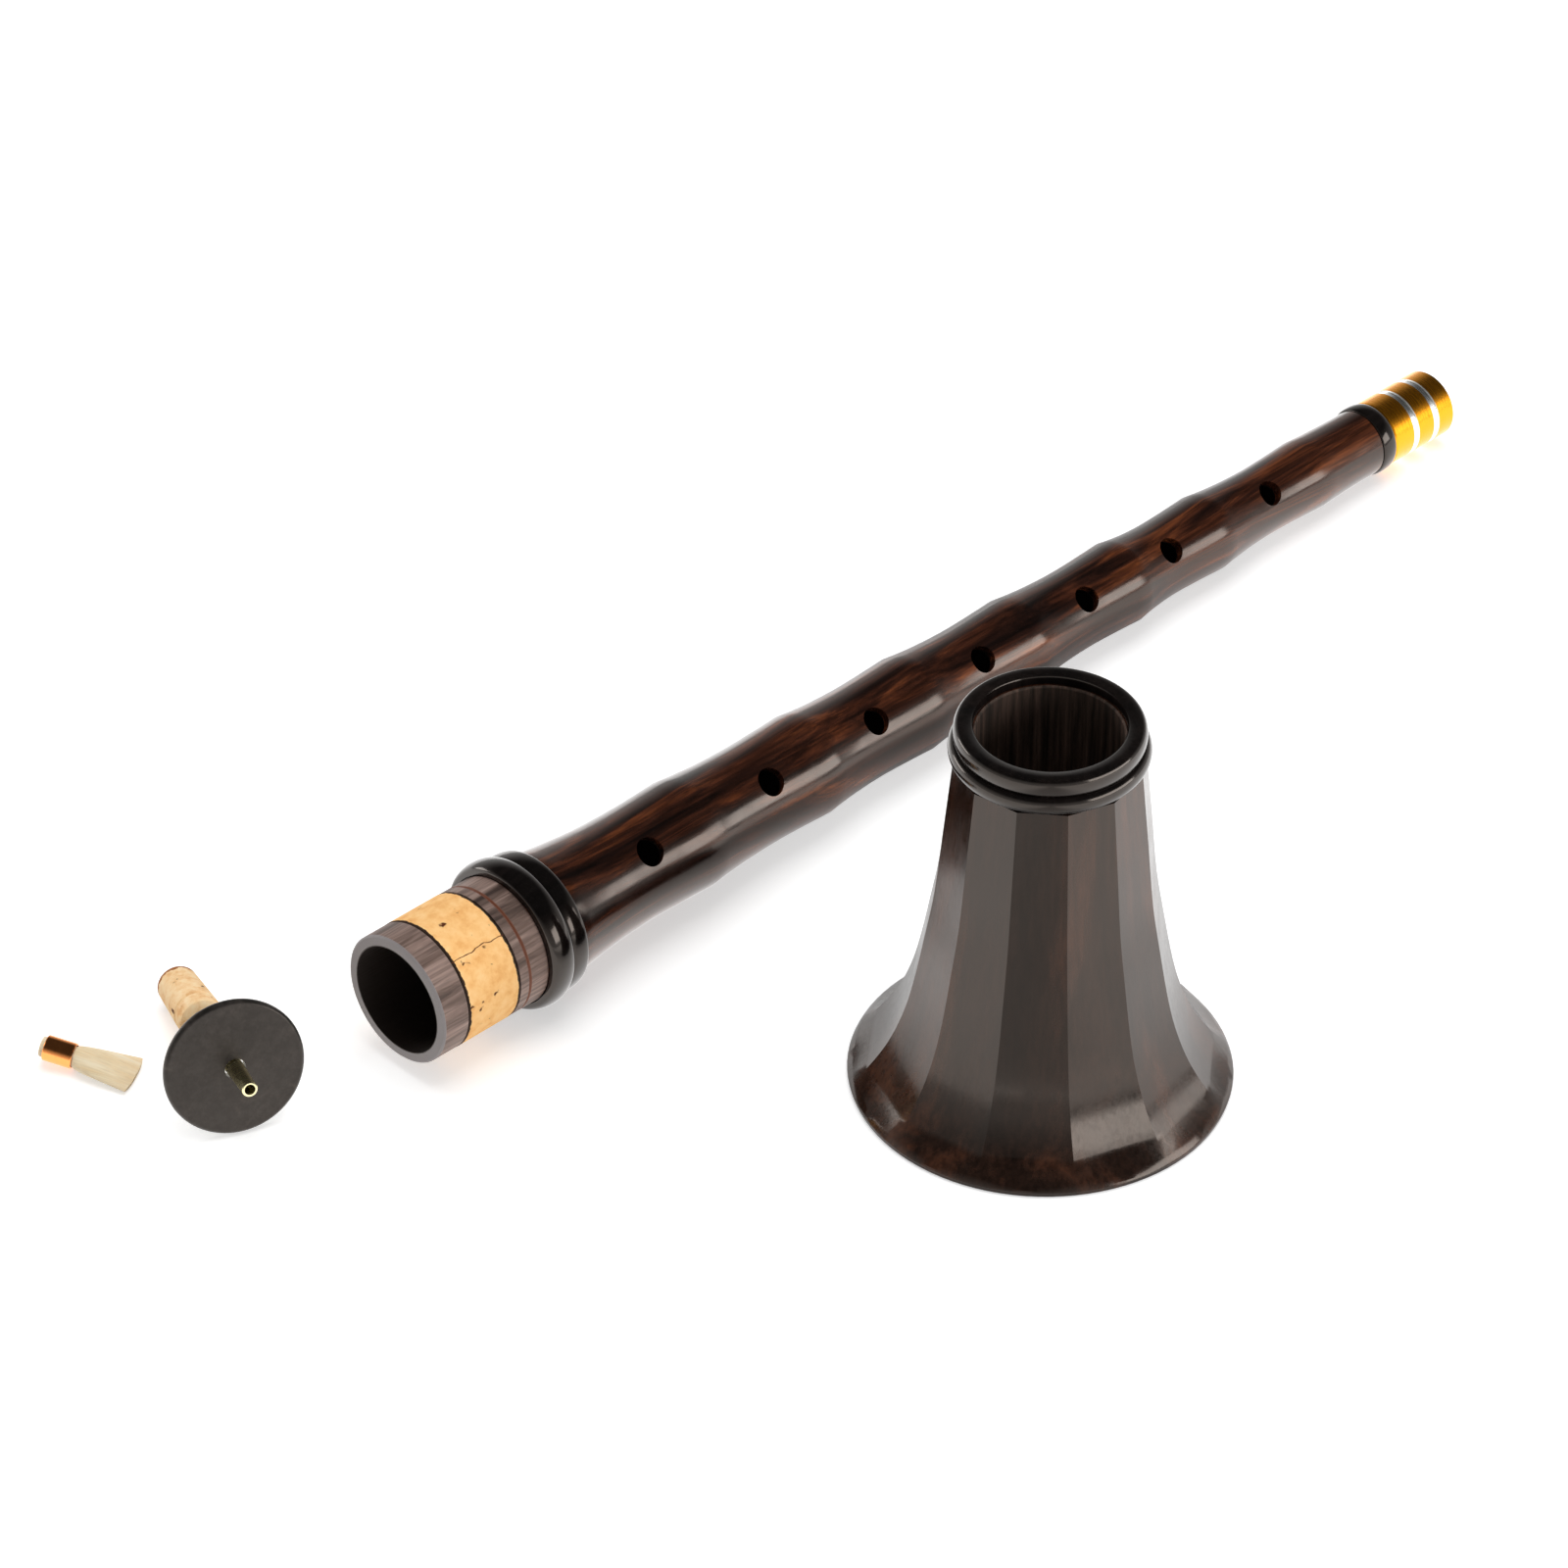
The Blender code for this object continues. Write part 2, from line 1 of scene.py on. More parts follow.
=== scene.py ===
# %% [markdown]
# # A suona taken apart on a white table
# A suona is a small conical reed instrument. Its wooden tube, faceted bell, corked staple and flat reed
# lie side by side here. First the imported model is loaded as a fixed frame: every piece made below goes
# where it is.

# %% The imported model
import math

import bpy
from mathutils import Matrix, Vector


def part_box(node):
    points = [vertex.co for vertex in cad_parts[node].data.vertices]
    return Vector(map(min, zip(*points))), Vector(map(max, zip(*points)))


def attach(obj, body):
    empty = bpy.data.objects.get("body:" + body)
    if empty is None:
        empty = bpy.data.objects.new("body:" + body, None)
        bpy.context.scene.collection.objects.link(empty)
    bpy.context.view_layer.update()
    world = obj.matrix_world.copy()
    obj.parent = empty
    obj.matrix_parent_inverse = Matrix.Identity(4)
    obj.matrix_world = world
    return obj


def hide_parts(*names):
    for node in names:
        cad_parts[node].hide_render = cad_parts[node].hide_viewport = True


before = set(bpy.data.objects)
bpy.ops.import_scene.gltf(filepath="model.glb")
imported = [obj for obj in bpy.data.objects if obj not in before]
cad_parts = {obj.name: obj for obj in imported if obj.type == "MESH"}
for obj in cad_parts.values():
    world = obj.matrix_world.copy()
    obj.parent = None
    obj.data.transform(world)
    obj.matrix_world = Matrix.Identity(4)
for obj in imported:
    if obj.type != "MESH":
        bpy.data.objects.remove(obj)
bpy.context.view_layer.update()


# %% [markdown]
# ## Where the pieces lie
# Each long piece has its own frame, with local Z along the piece and local X pointing down. A shape is
# made upright at the origin, as on a lathe, and laid into its frame at the end. The place is then applied
# to the mesh, so that its object stays at the origin.

# %% Frames of the four groups


def lying_frame(origin, axis):
    axis = Vector(axis).normalized()
    side = Vector((0, 0, 1)).cross(axis).normalized()
    turn = Matrix((side.cross(axis), side, axis)).transposed().to_4x4()
    return Matrix.Translation(origin) @ turn


bell_low, bell_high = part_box("bell")
bell_centre = ((bell_low[0] + bell_high[0]) / 2, (bell_low[1] + bell_high[1]) / 2, 0.0)
TUBE_FRAME = lying_frame((-0.142363, 0.041826, 0.018833), (0.999524, 0.0, -0.03085))
STAPLE_FRAME = lying_frame((-0.183903, 0.042379, 0.018202), (0.394527, 0.886121, -0.243182))
REED_FRAME = lying_frame((-0.195663, 0.098126, 0.004054), (0.478836, -0.863843, -0.156498))
BELL_FRAME = Matrix.Translation(bell_centre)
print("bell axis at", [round(value, 5) for value in bell_centre])

# %% [markdown]
# ## The camera
# A long lens from well above, 38 degrees down, keeps the pieces nearly free of perspective. The camera is
# placed from the bell's axis, because the bell stands upright and its ellipses tell the angle best.

# %% Camera
CAMERA_FROM_BELL = Vector((-0.8282, -0.7498, 0.9479))
TARGET_FROM_BELL = Vector((0.0319, 0.1103, 0.0))
LENS_MM = 155.1
SENSOR_MM = 36.0
NEAREST_SEEN = 0.05

lens = bpy.data.cameras.new("studio_camera")
lens.lens = LENS_MM
lens.sensor_width = SENSOR_MM
lens.clip_start = NEAREST_SEEN
camera = bpy.data.objects.new("studio_camera", lens)
bpy.context.scene.collection.objects.link(camera)
target = Vector(bell_centre) + TARGET_FROM_BELL
camera.location = Vector(bell_centre) + CAMERA_FROM_BELL
camera.rotation_euler = (target - camera.location).to_track_quat("-Z", "Y").to_euler()
bpy.context.scene.camera = camera
print("camera distance in m:", round((target - camera.location).length, 3))

# %% [markdown]
# ## Soft boxes
# Dark lacquer shows mostly what it reflects, so two lamps are large soft boxes low on both sides: each
# makes a crisp strip along the tube. A broad lamp above lights the pale cork and is kept out of the
# reflections.

# %% Soft boxes
DIAGONAL = math.sqrt(0.5)
SOFT_BOXES = (
    # name, (right, away, up) from the target, width, height, watts, shows in reflections
    ("right_soft_box", (1.08, -0.50, 0.34), 1.15, 0.42, 8.5, True),
    ("left_soft_box", (-1.30, 0.50, 0.34), 0.60, 0.35, 3.5, True),
    ("top_soft_box", (0.10, 0.10, 1.70), 1.40, 1.40, 16.0, False),
)


def in_studio(right, away, up):
    """A point given from the target: right and away run along the diagonals of X and Y."""
    return target + Vector(((right + away) * DIAGONAL, (away - right) * DIAGONAL, up))


def add_soft_box(name, place, width, height, watts, in_reflections):
    lamp = bpy.data.lights.new(name, "AREA")
    lamp.shape = "RECTANGLE"
    lamp.size = width
    lamp.size_y = height
    lamp.energy = watts
    box = bpy.data.objects.new(name, lamp)
    bpy.context.scene.collection.objects.link(box)
    box.location = in_studio(*place)
    box.rotation_euler = (target - box.location).to_track_quat("-Z", "Y").to_euler()
    box.visible_glossy = in_reflections


for soft_box in SOFT_BOXES:
    add_soft_box(*soft_box)
print("soft boxes:", len(bpy.data.lights))

# %% [markdown]
# ## Small helpers for materials
# The world, the table and every finish are built from a few kinds of node, so each kind gets a short
# helper. Patterns read Object coordinates through a Mapping node that turns them into the piece's own
# frame: Z then runs along the piece.

# %% Node helpers


def add_node(tree, kind, **settings):
    node = tree.nodes.new("ShaderNode" + kind)
    for key, value in settings.items():
        setattr(node, key, value)
    return node


def feed(tree, socket, value):
    """Links a socket, or sets a plain value."""
    if isinstance(value, bpy.types.NodeSocket):
        tree.links.new(value, socket)
    elif isinstance(value, (tuple, list)) and len(value) == 3 and socket.type == "RGBA":
        socket.default_value = (*value, 1.0)
    else:
        socket.default_value = value


def new_finish(name, metallic=0.0, specular=0.5, tint=(1.0, 1.0, 1.0)):
    material = bpy.data.materials.new(name)
    material.use_nodes = True
    shader = material.node_tree.nodes["Principled BSDF"]
    shader.inputs["Metallic"].default_value = metallic
    shader.inputs["Specular IOR Level"].default_value = specular
    shader.inputs["Specular Tint"].default_value = (*tint, 1.0)
    return material, material.node_tree, shader


# %% Helpers that calculate


def calculate(tree, operation, *values):
    node = add_node(tree, "Math", operation=operation)
    for socket, value in zip(node.inputs, values):
        feed(tree, socket, value)
    return node.outputs[0]


def map_range(tree, value, low, high, to_low=0.0, to_high=1.0, kind="LINEAR"):
    node = add_node(tree, "MapRange", interpolation_type=kind)
    for name, setting in (("Value", value), ("From Min", low), ("From Max", high), ("To Min", to_low),
                          ("To Max", to_high)):
        feed(tree, node.inputs[name], setting)
    return node.outputs["Result"]


def step(tree, value, edge, softness):
    """0 below the edge and 1 above it, with a soft change between."""
    return map_range(tree, value, edge - softness / 2, edge + softness / 2, kind="SMOOTHSTEP")


def within(tree, value, middle, reach):
    """1 where the value is closer to the middle than the reach, and 0 elsewhere."""
    apart = calculate(tree, "ABSOLUTE", calculate(tree, "SUBTRACT", value, middle))
    return calculate(tree, "LESS_THAN", apart, reach)


# %% Helpers for coordinates


def own_coordinates(tree, place):
    """Object coordinates seen from the piece's own frame."""
    mapping = add_node(tree, "Mapping", vector_type="TEXTURE")
    mapping.inputs["Location"].default_value = place.translation
    mapping.inputs["Rotation"].default_value = place.to_euler()
    feed(tree, mapping.inputs["Vector"], add_node(tree, "TexCoord").outputs["Object"])
    return mapping.outputs[0]


def stretched(tree, vector, scale):
    mapping = add_node(tree, "Mapping")
    mapping.inputs["Scale"].default_value = scale
    feed(tree, mapping.inputs["Vector"], vector)
    return mapping.outputs[0]


def split(tree, vector):
    """The X, Y and Z of a point."""
    node = add_node(tree, "SeparateXYZ")
    feed(tree, node.inputs[0], vector)
    return node.outputs


def from_axis(tree, x, y):
    """Distance from the axis, which is the piece's own Z."""
    x_squared = calculate(tree, "MULTIPLY", x, x)
    y_squared = calculate(tree, "MULTIPLY", y, y)
    return calculate(tree, "SQRT", calculate(tree, "ADD", x_squared, y_squared))


# %% Helpers for patterns and colour


def noise(tree, vector, scale, detail=3.0, roughness=0.5, distortion=0.0):
    node = add_node(tree, "TexNoise")
    for name, value in (("Vector", vector), ("Scale", scale), ("Detail", detail), ("Roughness", roughness),
                        ("Distortion", distortion)):
        feed(tree, node.inputs[name], value)
    return node.outputs["Fac"]


def grey(value):
    return (value, value, value)


def ramp(tree, factor, stops):
    """A stop is a position and a colour, or a position and one number for a grey."""
    node = add_node(tree, "ValToRGB")
    elements = node.color_ramp.elements
    while len(elements) < len(stops):
        elements.new(0.5)
    for element, (position, colour) in zip(elements, stops):
        element.position = position
        element.color = (*(colour if isinstance(colour, tuple) else grey(colour)), 1.0)
    feed(tree, node.inputs[0], factor)
    return node.outputs[0]


def blend(tree, factor, first, second, kind="MIX"):
    node = add_node(tree, "Mix", data_type="RGBA", blend_type=kind)
    feed(tree, node.inputs["Factor"], factor)
    feed(tree, node.inputs[6], first)
    feed(tree, node.inputs[7], second)
    return node.outputs[2]


def bump(tree, height, distance, strength):
    node = add_node(tree, "Bump")
    node.inputs["Strength"].default_value = strength
    node.inputs["Distance"].default_value = distance
    feed(tree, node.inputs["Height"], height)
    return node.outputs[0]


print("helpers for nodes are ready")

# %% [markdown]
# ## A white world
# The world is white to the camera and dimmer as a light. In reflections it is bright at the horizon and
# dark overhead, which gives dark lacquer its depth: a sky that is white all over would wash it out.

# %% World
WORLD_LIGHT = 0.54
HORIZON_IN_GLOSS = 1.0
ZENITH_IN_GLOSS = 0.05
HORIZON_TOP = 0.15
ZENITH_BOTTOM = 0.60
WHITE_TO_CAMERA = 1.0

world = bpy.data.worlds.new("white_studio")
bpy.context.scene.world = world
world.use_nodes = True
sky = world.node_tree
sky.nodes.clear()


def background(strength):
    node = add_node(sky, "Background")
    feed(sky, node.inputs["Strength"], strength)
    return node.outputs[0]


def choose(ray_is, otherwise, then):
    node = add_node(sky, "MixShader")
    for socket, value in zip(node.inputs, (ray_is, otherwise, then)):
        feed(sky, socket, value)
    return node.outputs[0]


rays = add_node(sky, "LightPath").outputs
upward = split(sky, add_node(sky, "TexCoord").outputs["Generated"])[2]
gloss_strength = map_range(sky, upward, HORIZON_TOP, ZENITH_BOTTOM, HORIZON_IN_GLOSS, ZENITH_IN_GLOSS)
light = choose(rays["Is Glossy Ray"], background(WORLD_LIGHT), background(gloss_strength))
seen = choose(rays["Is Camera Ray"], light, background(WHITE_TO_CAMERA))
feed(sky, add_node(sky, "OutputWorld").inputs["Surface"], seen)
print("world nodes:", len(sky.nodes))

# %% [markdown]
# ## The table
# The table is a matte white plane with a faint glow of its own, so that it is white to the camera and
# still takes soft shadows. In reflections only, it has a painted glow to both sides of the bell and a
# painted dark band in line with it, so that the bell's facets differ in tone.

# %% Table
TABLE_SIZE = 8.0
TABLE_DROP = 0.0003
TABLE_WHITE = 0.86
TABLE_ROUGHNESS = 0.9
TABLE_GLOW = 0.42
TABLE_GLOW_IN_GLOSS = 1.1
BELL_SHADE_NEAR = 0.020
BELL_SHADE_FAR = 0.085


def make_table_white():
    material, tree, shader = new_finish("white_table", specular=0.0)
    feed(tree, shader.inputs["Base Color"], grey(TABLE_WHITE))
    shader.inputs["Roughness"].default_value = TABLE_ROUGHNESS
    feed(tree, shader.inputs["Emission Color"], grey(1.0))
    ray = add_node(tree, "LightPath").outputs
    across = add_node(tree, "VectorMath", operation="DOT_PRODUCT")
    feed(tree, across.inputs[0], add_node(tree, "TexCoord").outputs["Object"])
    across.inputs[1].default_value = (DIAGONAL, -DIAGONAL, 0)
    bell_across = DIAGONAL * (bell_centre[0] - bell_centre[1])
    beside = calculate(tree, "ABSOLUTE", calculate(tree, "SUBTRACT", across.outputs["Value"], bell_across))
    # Painted reflection: in reflections the table glows, with a painted dark band in line with the bell.
    painted_band_mask = map_range(tree, beside, BELL_SHADE_NEAR, BELL_SHADE_FAR, kind="SMOOTHSTEP")
    lit = calculate(tree, "MULTIPLY", ray["Is Glossy Ray"], painted_band_mask)
    in_gloss = calculate(tree, "MULTIPLY", lit, TABLE_GLOW_IN_GLOSS)
    glow = calculate(tree, "MULTIPLY_ADD", ray["Is Camera Ray"], TABLE_GLOW, in_gloss)
    feed(tree, shader.inputs["Emission Strength"], glow)
    return material


bpy.ops.object.select_all(action="DESELECT")
bpy.ops.mesh.primitive_plane_add(size=TABLE_SIZE, location=(0, 0, -TABLE_DROP))
floor = bpy.context.object
floor.name = "white_table"
floor.data.materials.append(make_table_white())
bpy.context.scene.view_settings.view_transform = "Standard"
print("table is", TABLE_SIZE, "m wide")

# %% [markdown]
# ## Effects that several finishes share
# Wood grain is noise drawn out along the piece: wide streaks for its colour and fine fibres for its
# pores. The woods and the cane use it, so it is a node group. Cork is a second group: soft mottling with
# small dark pits.

# %% Node groups
STREAK_STRETCH = (1.0, 1.0, 0.10)
FIBRE_STRETCH = (1.0, 1.0, 0.045)
MOTTLING_SCALE = 330.0
PIT_EDGE = 0.72
PIT_SOFTNESS = 0.06


def new_group(name, inputs, outputs):
    group = bpy.data.node_groups.new(name, "ShaderNodeTree")
    for label, kind, value in inputs:
        socket = group.interface.new_socket(name=label, in_out="INPUT", socket_type=kind)
        if value is not None:
            socket.default_value = value
    for label in outputs:
        group.interface.new_socket(name=label, in_out="OUTPUT", socket_type="NodeSocketFloat")
    group_in, group_out = group.nodes.new("NodeGroupInput"), group.nodes.new("NodeGroupOutput")
    return group, group_in.outputs, group_out.inputs


def use_group(tree, group, **values):
    node = tree.nodes.new("ShaderNodeGroup")
    node.node_tree = group
    for label, value in values.items():
        feed(tree, node.inputs[label.replace("_", " ")], value)
    return node.outputs


grain_group, grain_in, grain_out = new_group(
    "wood_grain",
    [("Vector", "NodeSocketVector", None), ("Streak Scale", "NodeSocketFloat", 90.0),
     ("Fibre Scale", "NodeSocketFloat", 700.0), ("Swirl", "NodeSocketFloat", 1.0)],
    ["Streaks", "Fibres"])
long_streaks = stretched(grain_group, grain_in["Vector"], STREAK_STRETCH)
long_fibres = stretched(grain_group, grain_in["Vector"], FIBRE_STRETCH)
streak_noise = noise(grain_group, long_streaks, grain_in["Streak Scale"], 7.0, 0.62, grain_in["Swirl"])
fibre_noise = noise(grain_group, long_fibres, grain_in["Fibre Scale"], 3.0, 0.6)
feed(grain_group, grain_out["Streaks"], streak_noise)
feed(grain_group, grain_out["Fibres"], fibre_noise)

cork_group, cork_in, cork_out = new_group(
    "cork_cells", [("Vector", "NodeSocketVector", None), ("Pit Scale", "NodeSocketFloat", 420.0)],
    ["Mottling", "Pits"])
mottling = noise(cork_group, cork_in["Vector"], MOTTLING_SCALE, 5.0, 0.65)
pit_field = noise(cork_group, cork_in["Vector"], cork_in["Pit Scale"], 2.0, 0.5, 0.4)
feed(cork_group, cork_out["Mottling"], mottling)
feed(cork_group, cork_out["Pits"], step(cork_group, pit_field, PIT_EDGE, PIT_SOFTNESS))
print("groups:", grain_group.name, cork_group.name)

# %% [markdown]
# ## Lacquered rosewood
# The tube is dark rosewood under clear lacquer: nearly black, with red and orange streaks along the
# grain. The tenon, which goes into the bell, is bare, greyer and matte. Both are one material, because
# they are one piece of wood: a mask on the distance along the piece tells them apart, and another finds
# the inside of the bore, whose colour is painted near black as shade.

# %% Rosewood
TENON_END = 0.0305
TENON_EDGE_BLUR = 0.0004
SCRIBE_LINE = 0.0252
SCRIBE_HALF_WIDTH = 0.0004
END_HIGHLIGHT_REACH = 0.0005
BORE_FOOT = 0.0127
BORE_HEAD = 0.0046
SOCKET_START = 0.3160
BORE_TAPER = (BORE_FOOT - BORE_HEAD) / SOCKET_START
BORE_MARGIN = 0.0002
TENON_ROUGHNESS = 0.62
BORE_ROUGHNESS = 0.55
WARM_GLOSS = (1.0, 0.86, 0.76)


def lacquered_colour(tree, own):
    grain = use_group(tree, grain_group, Vector=own, Streak_Scale=125.0, Fibre_Scale=900.0, Swirl=1.6)
    streaks = ramp(tree, grain["Streaks"], [
        (0.36, (0.0050, 0.0020, 0.0016)), (0.46, (0.020, 0.0062, 0.0035)), (0.54, (0.048, 0.0135, 0.0060)),
        (0.62, (0.115, 0.032, 0.011)), (0.74, (0.24, 0.070, 0.020))])
    fibres = ramp(tree, grain["Fibres"], [(0.35, 0.45), (0.55, 1.0), (0.70, 1.25)])
    return blend(tree, 1.0, streaks, fibres, "MULTIPLY")


def bare_colour(tree, fine, along):
    """Dull wood, with a line scribed round it and a painted highlight on the end chamfer."""
    streaks = ramp(tree, fine["Streaks"], [
        (0.34, (0.055, 0.034, 0.028)), (0.46, (0.15, 0.098, 0.080)), (0.58, (0.27, 0.185, 0.155)),
        (0.72, (0.38, 0.28, 0.24))])
    pores = ramp(tree, fine["Fibres"], [(0.35, 0.35), (0.6, 1.1)])
    bare = blend(tree, 0.6, streaks, pores, "MULTIPLY")
    scribe = within(tree, along, SCRIBE_LINE, SCRIBE_HALF_WIDTH)
    bare = blend(tree, scribe, bare, (0.16, 0.055, 0.03))
    # The pale grey on the end chamfer is a painted highlight.
    return blend(tree, calculate(tree, "LESS_THAN", along, END_HIGHLIGHT_REACH), bare, (0.24, 0.22, 0.22))


def make_rosewood():
    material, tree, shader = new_finish("lacquered_rosewood", specular=0.55, tint=WARM_GLOSS)
    own = own_coordinates(tree, TUBE_FRAME)
    x, y, along = split(tree, own)
    fine = use_group(tree, grain_group, Vector=own, Streak_Scale=260.0, Fibre_Scale=1500.0, Swirl=0.6)
    off_tenon = step(tree, along, TENON_END, TENON_EDGE_BLUR)
    colour = blend(tree, off_tenon, bare_colour(tree, fine, along), lacquered_colour(tree, own))
    narrowing = calculate(tree, "MULTIPLY", along, BORE_TAPER)
    bore_radius = calculate(tree, "SUBTRACT", BORE_FOOT + BORE_MARGIN, narrowing)
    shaded_bore = calculate(tree, "LESS_THAN", from_axis(tree, x, y), bore_radius)
    # Inside the bore the colour is painted near black: painted shade.
    feed(tree, shader.inputs["Base Color"], blend(tree, shaded_bore, colour, (0.008, 0.005, 0.004)))
    gloss = ramp(tree, noise(tree, own, 160.0, 4.0), [(0.35, 0.13), (0.65, 0.20)])
    gloss = blend(tree, off_tenon, grey(TENON_ROUGHNESS), gloss)
    feed(tree, shader.inputs["Roughness"], blend(tree, shaded_bore, gloss, grey(BORE_ROUGHNESS)))
    bare_most = calculate(tree, "SUBTRACT", 1.05, off_tenon)
    relief = calculate(tree, "MULTIPLY", fine["Fibres"], bare_most)
    feed(tree, shader.inputs["Normal"], bump(tree, relief, 0.00025, 0.5))
    return material


ROSEWOOD = make_rosewood()
print(ROSEWOOD.name, "has", len(ROSEWOOD.node_tree.nodes), "nodes")

# %% [markdown]
# ## Dark woods of the bell, rings and disc
# The bell is an almost black wood polished to a soft gloss, with faint red patches, and rough inside. The
# turned rings are blacker and shinier, and the lip disc is satin. One function makes all of them from a
# few values, once for each frame that a wood lies in.

# %% Dark woods
RAW_ROUGHNESS = 0.7
# The bell is raw within this radius and above this height.
RAW_BELL = (0.0160, 0.060)
BELL_SHADES = [(0.36, (0.008, 0.0042, 0.0030)), (0.50, (0.019, 0.0090, 0.0060)),
               (0.60, (0.042, 0.0165, 0.0095)), (0.72, (0.085, 0.030, 0.014))]
RING_SHADES = [(0.40, (0.003, 0.0025, 0.0025)), (0.62, (0.007, 0.005, 0.0045)),
               (0.75, (0.012, 0.008, 0.007))]
DISC_SHADES = [(0.38, (0.013, 0.012, 0.011)), (0.60, (0.024, 0.021, 0.019)),
               (0.75, (0.044, 0.036, 0.031))]
RAW_SHADES = [(0.35, (0.010, 0.007, 0.005)), (0.55, (0.045, 0.027, 0.020)),
              (0.72, (0.100, 0.060, 0.045))]


def make_dark_wood(name, place, shades, roughness, streak_scale, raw_inside=None, specular=0.5):
    """Raw_inside is a radius and a height: the wood is raw within that radius and above that height."""
    material, tree, shader = new_finish(name, specular=specular, tint=WARM_GLOSS)
    own = own_coordinates(tree, place)
    grain = use_group(tree, grain_group, Vector=own, Streak_Scale=streak_scale, Fibre_Scale=800.0,
                      Swirl=0.8)
    pores = ramp(tree, grain["Fibres"], [(0.38, 0.35), (0.60, 1.15)])
    colour = blend(tree, 0.55, ramp(tree, grain["Streaks"], shades), pores, "MULTIPLY")
    scratches = noise(tree, stretched(tree, own, (1.0, 1.0, 0.15)), 1400.0, 2.0, 0.7, 1.0)
    patches = calculate(tree, "MULTIPLY", noise(tree, own, 95.0, 4.0), 0.5)
    wear = calculate(tree, "MULTIPLY_ADD", scratches, 0.5, patches)
    smoothest, roughest = roughness
    gloss = ramp(tree, wear, [(0.38, smoothest), (0.62, roughest)])
    relief, depth, strength = grain["Fibres"], 0.00003, 0.35
    if raw_inside:
        raw_radius, raw_height = raw_inside
        x, y, along = split(tree, own)
        inside = calculate(tree, "LESS_THAN", from_axis(tree, x, y), raw_radius)
        inside = calculate(tree, "MULTIPLY", inside, calculate(tree, "GREATER_THAN", along, raw_height))
        colour = blend(tree, inside, colour, ramp(tree, grain["Fibres"], RAW_SHADES))
        gloss = blend(tree, inside, gloss, grey(RAW_ROUGHNESS))
        relief = calculate(tree, "MULTIPLY", relief, calculate(tree, "ADD", inside, 0.04))
        depth, strength = 0.0004, 0.6
    feed(tree, shader.inputs["Base Color"], colour)
    feed(tree, shader.inputs["Roughness"], gloss)
    feed(tree, shader.inputs["Normal"], bump(tree, relief, depth, strength))
    return material


BELL_WOOD = make_dark_wood("polished_bell_wood", BELL_FRAME, BELL_SHADES, (0.12, 0.24), 60.0, RAW_BELL)
TUBE_RING_WOOD = make_dark_wood("black_ring_wood_tube", TUBE_FRAME, RING_SHADES, (0.10, 0.18), 80.0)
BELL_RING_WOOD = make_dark_wood("black_ring_wood_bell", BELL_FRAME, RING_SHADES, (0.10, 0.18), 80.0)
DISC_EBONY = make_dark_wood("satin_ebony", STAPLE_FRAME, DISC_SHADES, (0.34, 0.46), 200.0, specular=0.4)
print("dark woods:", BELL_WOOD.name, TUBE_RING_WOOD.name, BELL_RING_WOOD.name, DISC_EBONY.name)

# %% [markdown]
# ## Cork
# The tenon's cork is a thin tan sheet with a seam and dark glue at its ragged edges. The staple's cork is
# paler and browner at its chamfered end. Both use the cork group, and a mask along the piece darkens
# their ends.

# %% Cork
SEAT_GAP = 0.0003
RECESS_START = 0.0070
RECESS_END = 0.0224
TENON_CORK_START = RECESS_START + SEAT_GAP
TENON_CORK_END = RECESS_END - SEAT_GAP
STAPLE_CORK_END = 0.0569
PIT_BROWN = (0.10, 0.028, 0.010)
SEAM_BROWN = (0.12, 0.04, 0.015)
SEAM_ANGLE = -2.45
SEAM_WANDER = 0.10
SEAM_HALF_WIDTH = 0.007
CORK_ROUGHNESS = 0.85


def make_cork(name, place, shades, dark_ends, end_colour, end_width, seam_angle=None):
    """A dark end is a place along the piece and the direction, 1 or -1, that leads into the cork."""
    material, tree, shader = new_finish(name, specular=0.2)
    own = own_coordinates(tree, place)
    x, y, along = split(tree, own)
    cells = use_group(tree, cork_group, Vector=own, Pit_Scale=430.0)
    colour = blend(tree, cells["Pits"], ramp(tree, cells["Mottling"], shades), PIT_BROWN)
    ragged = calculate(tree, "MULTIPLY", noise(tree, own, 520.0, 4.0, 0.7), end_width)
    for end, direction in dark_ends:
        inward = calculate(tree, "MULTIPLY", calculate(tree, "SUBTRACT", along, end), direction)
        close = calculate(tree, "LESS_THAN", calculate(tree, "SUBTRACT", inward, ragged), 0.0)
        colour = blend(tree, close, colour, end_colour)
    if seam_angle is not None:
        seam = calculate(tree, "MULTIPLY_ADD", noise(tree, own, 260.0, 3.0), SEAM_WANDER,
                         seam_angle - SEAM_WANDER / 2)
        around = calculate(tree, "ARCTAN2", y, x)
        colour = blend(tree, within(tree, around, seam, SEAM_HALF_WIDTH), colour, SEAM_BROWN)
    feed(tree, shader.inputs["Base Color"], colour)
    shader.inputs["Roughness"].default_value = CORK_ROUGHNESS
    deep_pits = calculate(tree, "MULTIPLY", cells["Pits"], 1.2)
    relief = calculate(tree, "SUBTRACT", cells["Mottling"], deep_pits)
    feed(tree, shader.inputs["Normal"], bump(tree, relief, 0.0003, 0.55))
    return material


TENON_CORK = make_cork(
    "tenon_cork_sheet", TUBE_FRAME,
    [(0.30, (0.84, 0.41, 0.13)), (0.50, (0.95, 0.55, 0.215)), (0.70, (1.0, 0.64, 0.29))],
    [(TENON_CORK_START, 1), (TENON_CORK_END, -1)], (0.035, 0.020, 0.014), 0.0010, SEAM_ANGLE)
STAPLE_CORK = make_cork(
    "staple_cork_plug", STAPLE_FRAME,
    [(0.32, (0.82, 0.46, 0.20)), (0.50, (0.95, 0.66, 0.36)), (0.68, (1.0, 0.78, 0.50))],
    [(STAPLE_CORK_END, -1)], (0.36, 0.13, 0.035), 0.0026)
print("corks:", TENON_CORK.name, STAPLE_CORK.name)

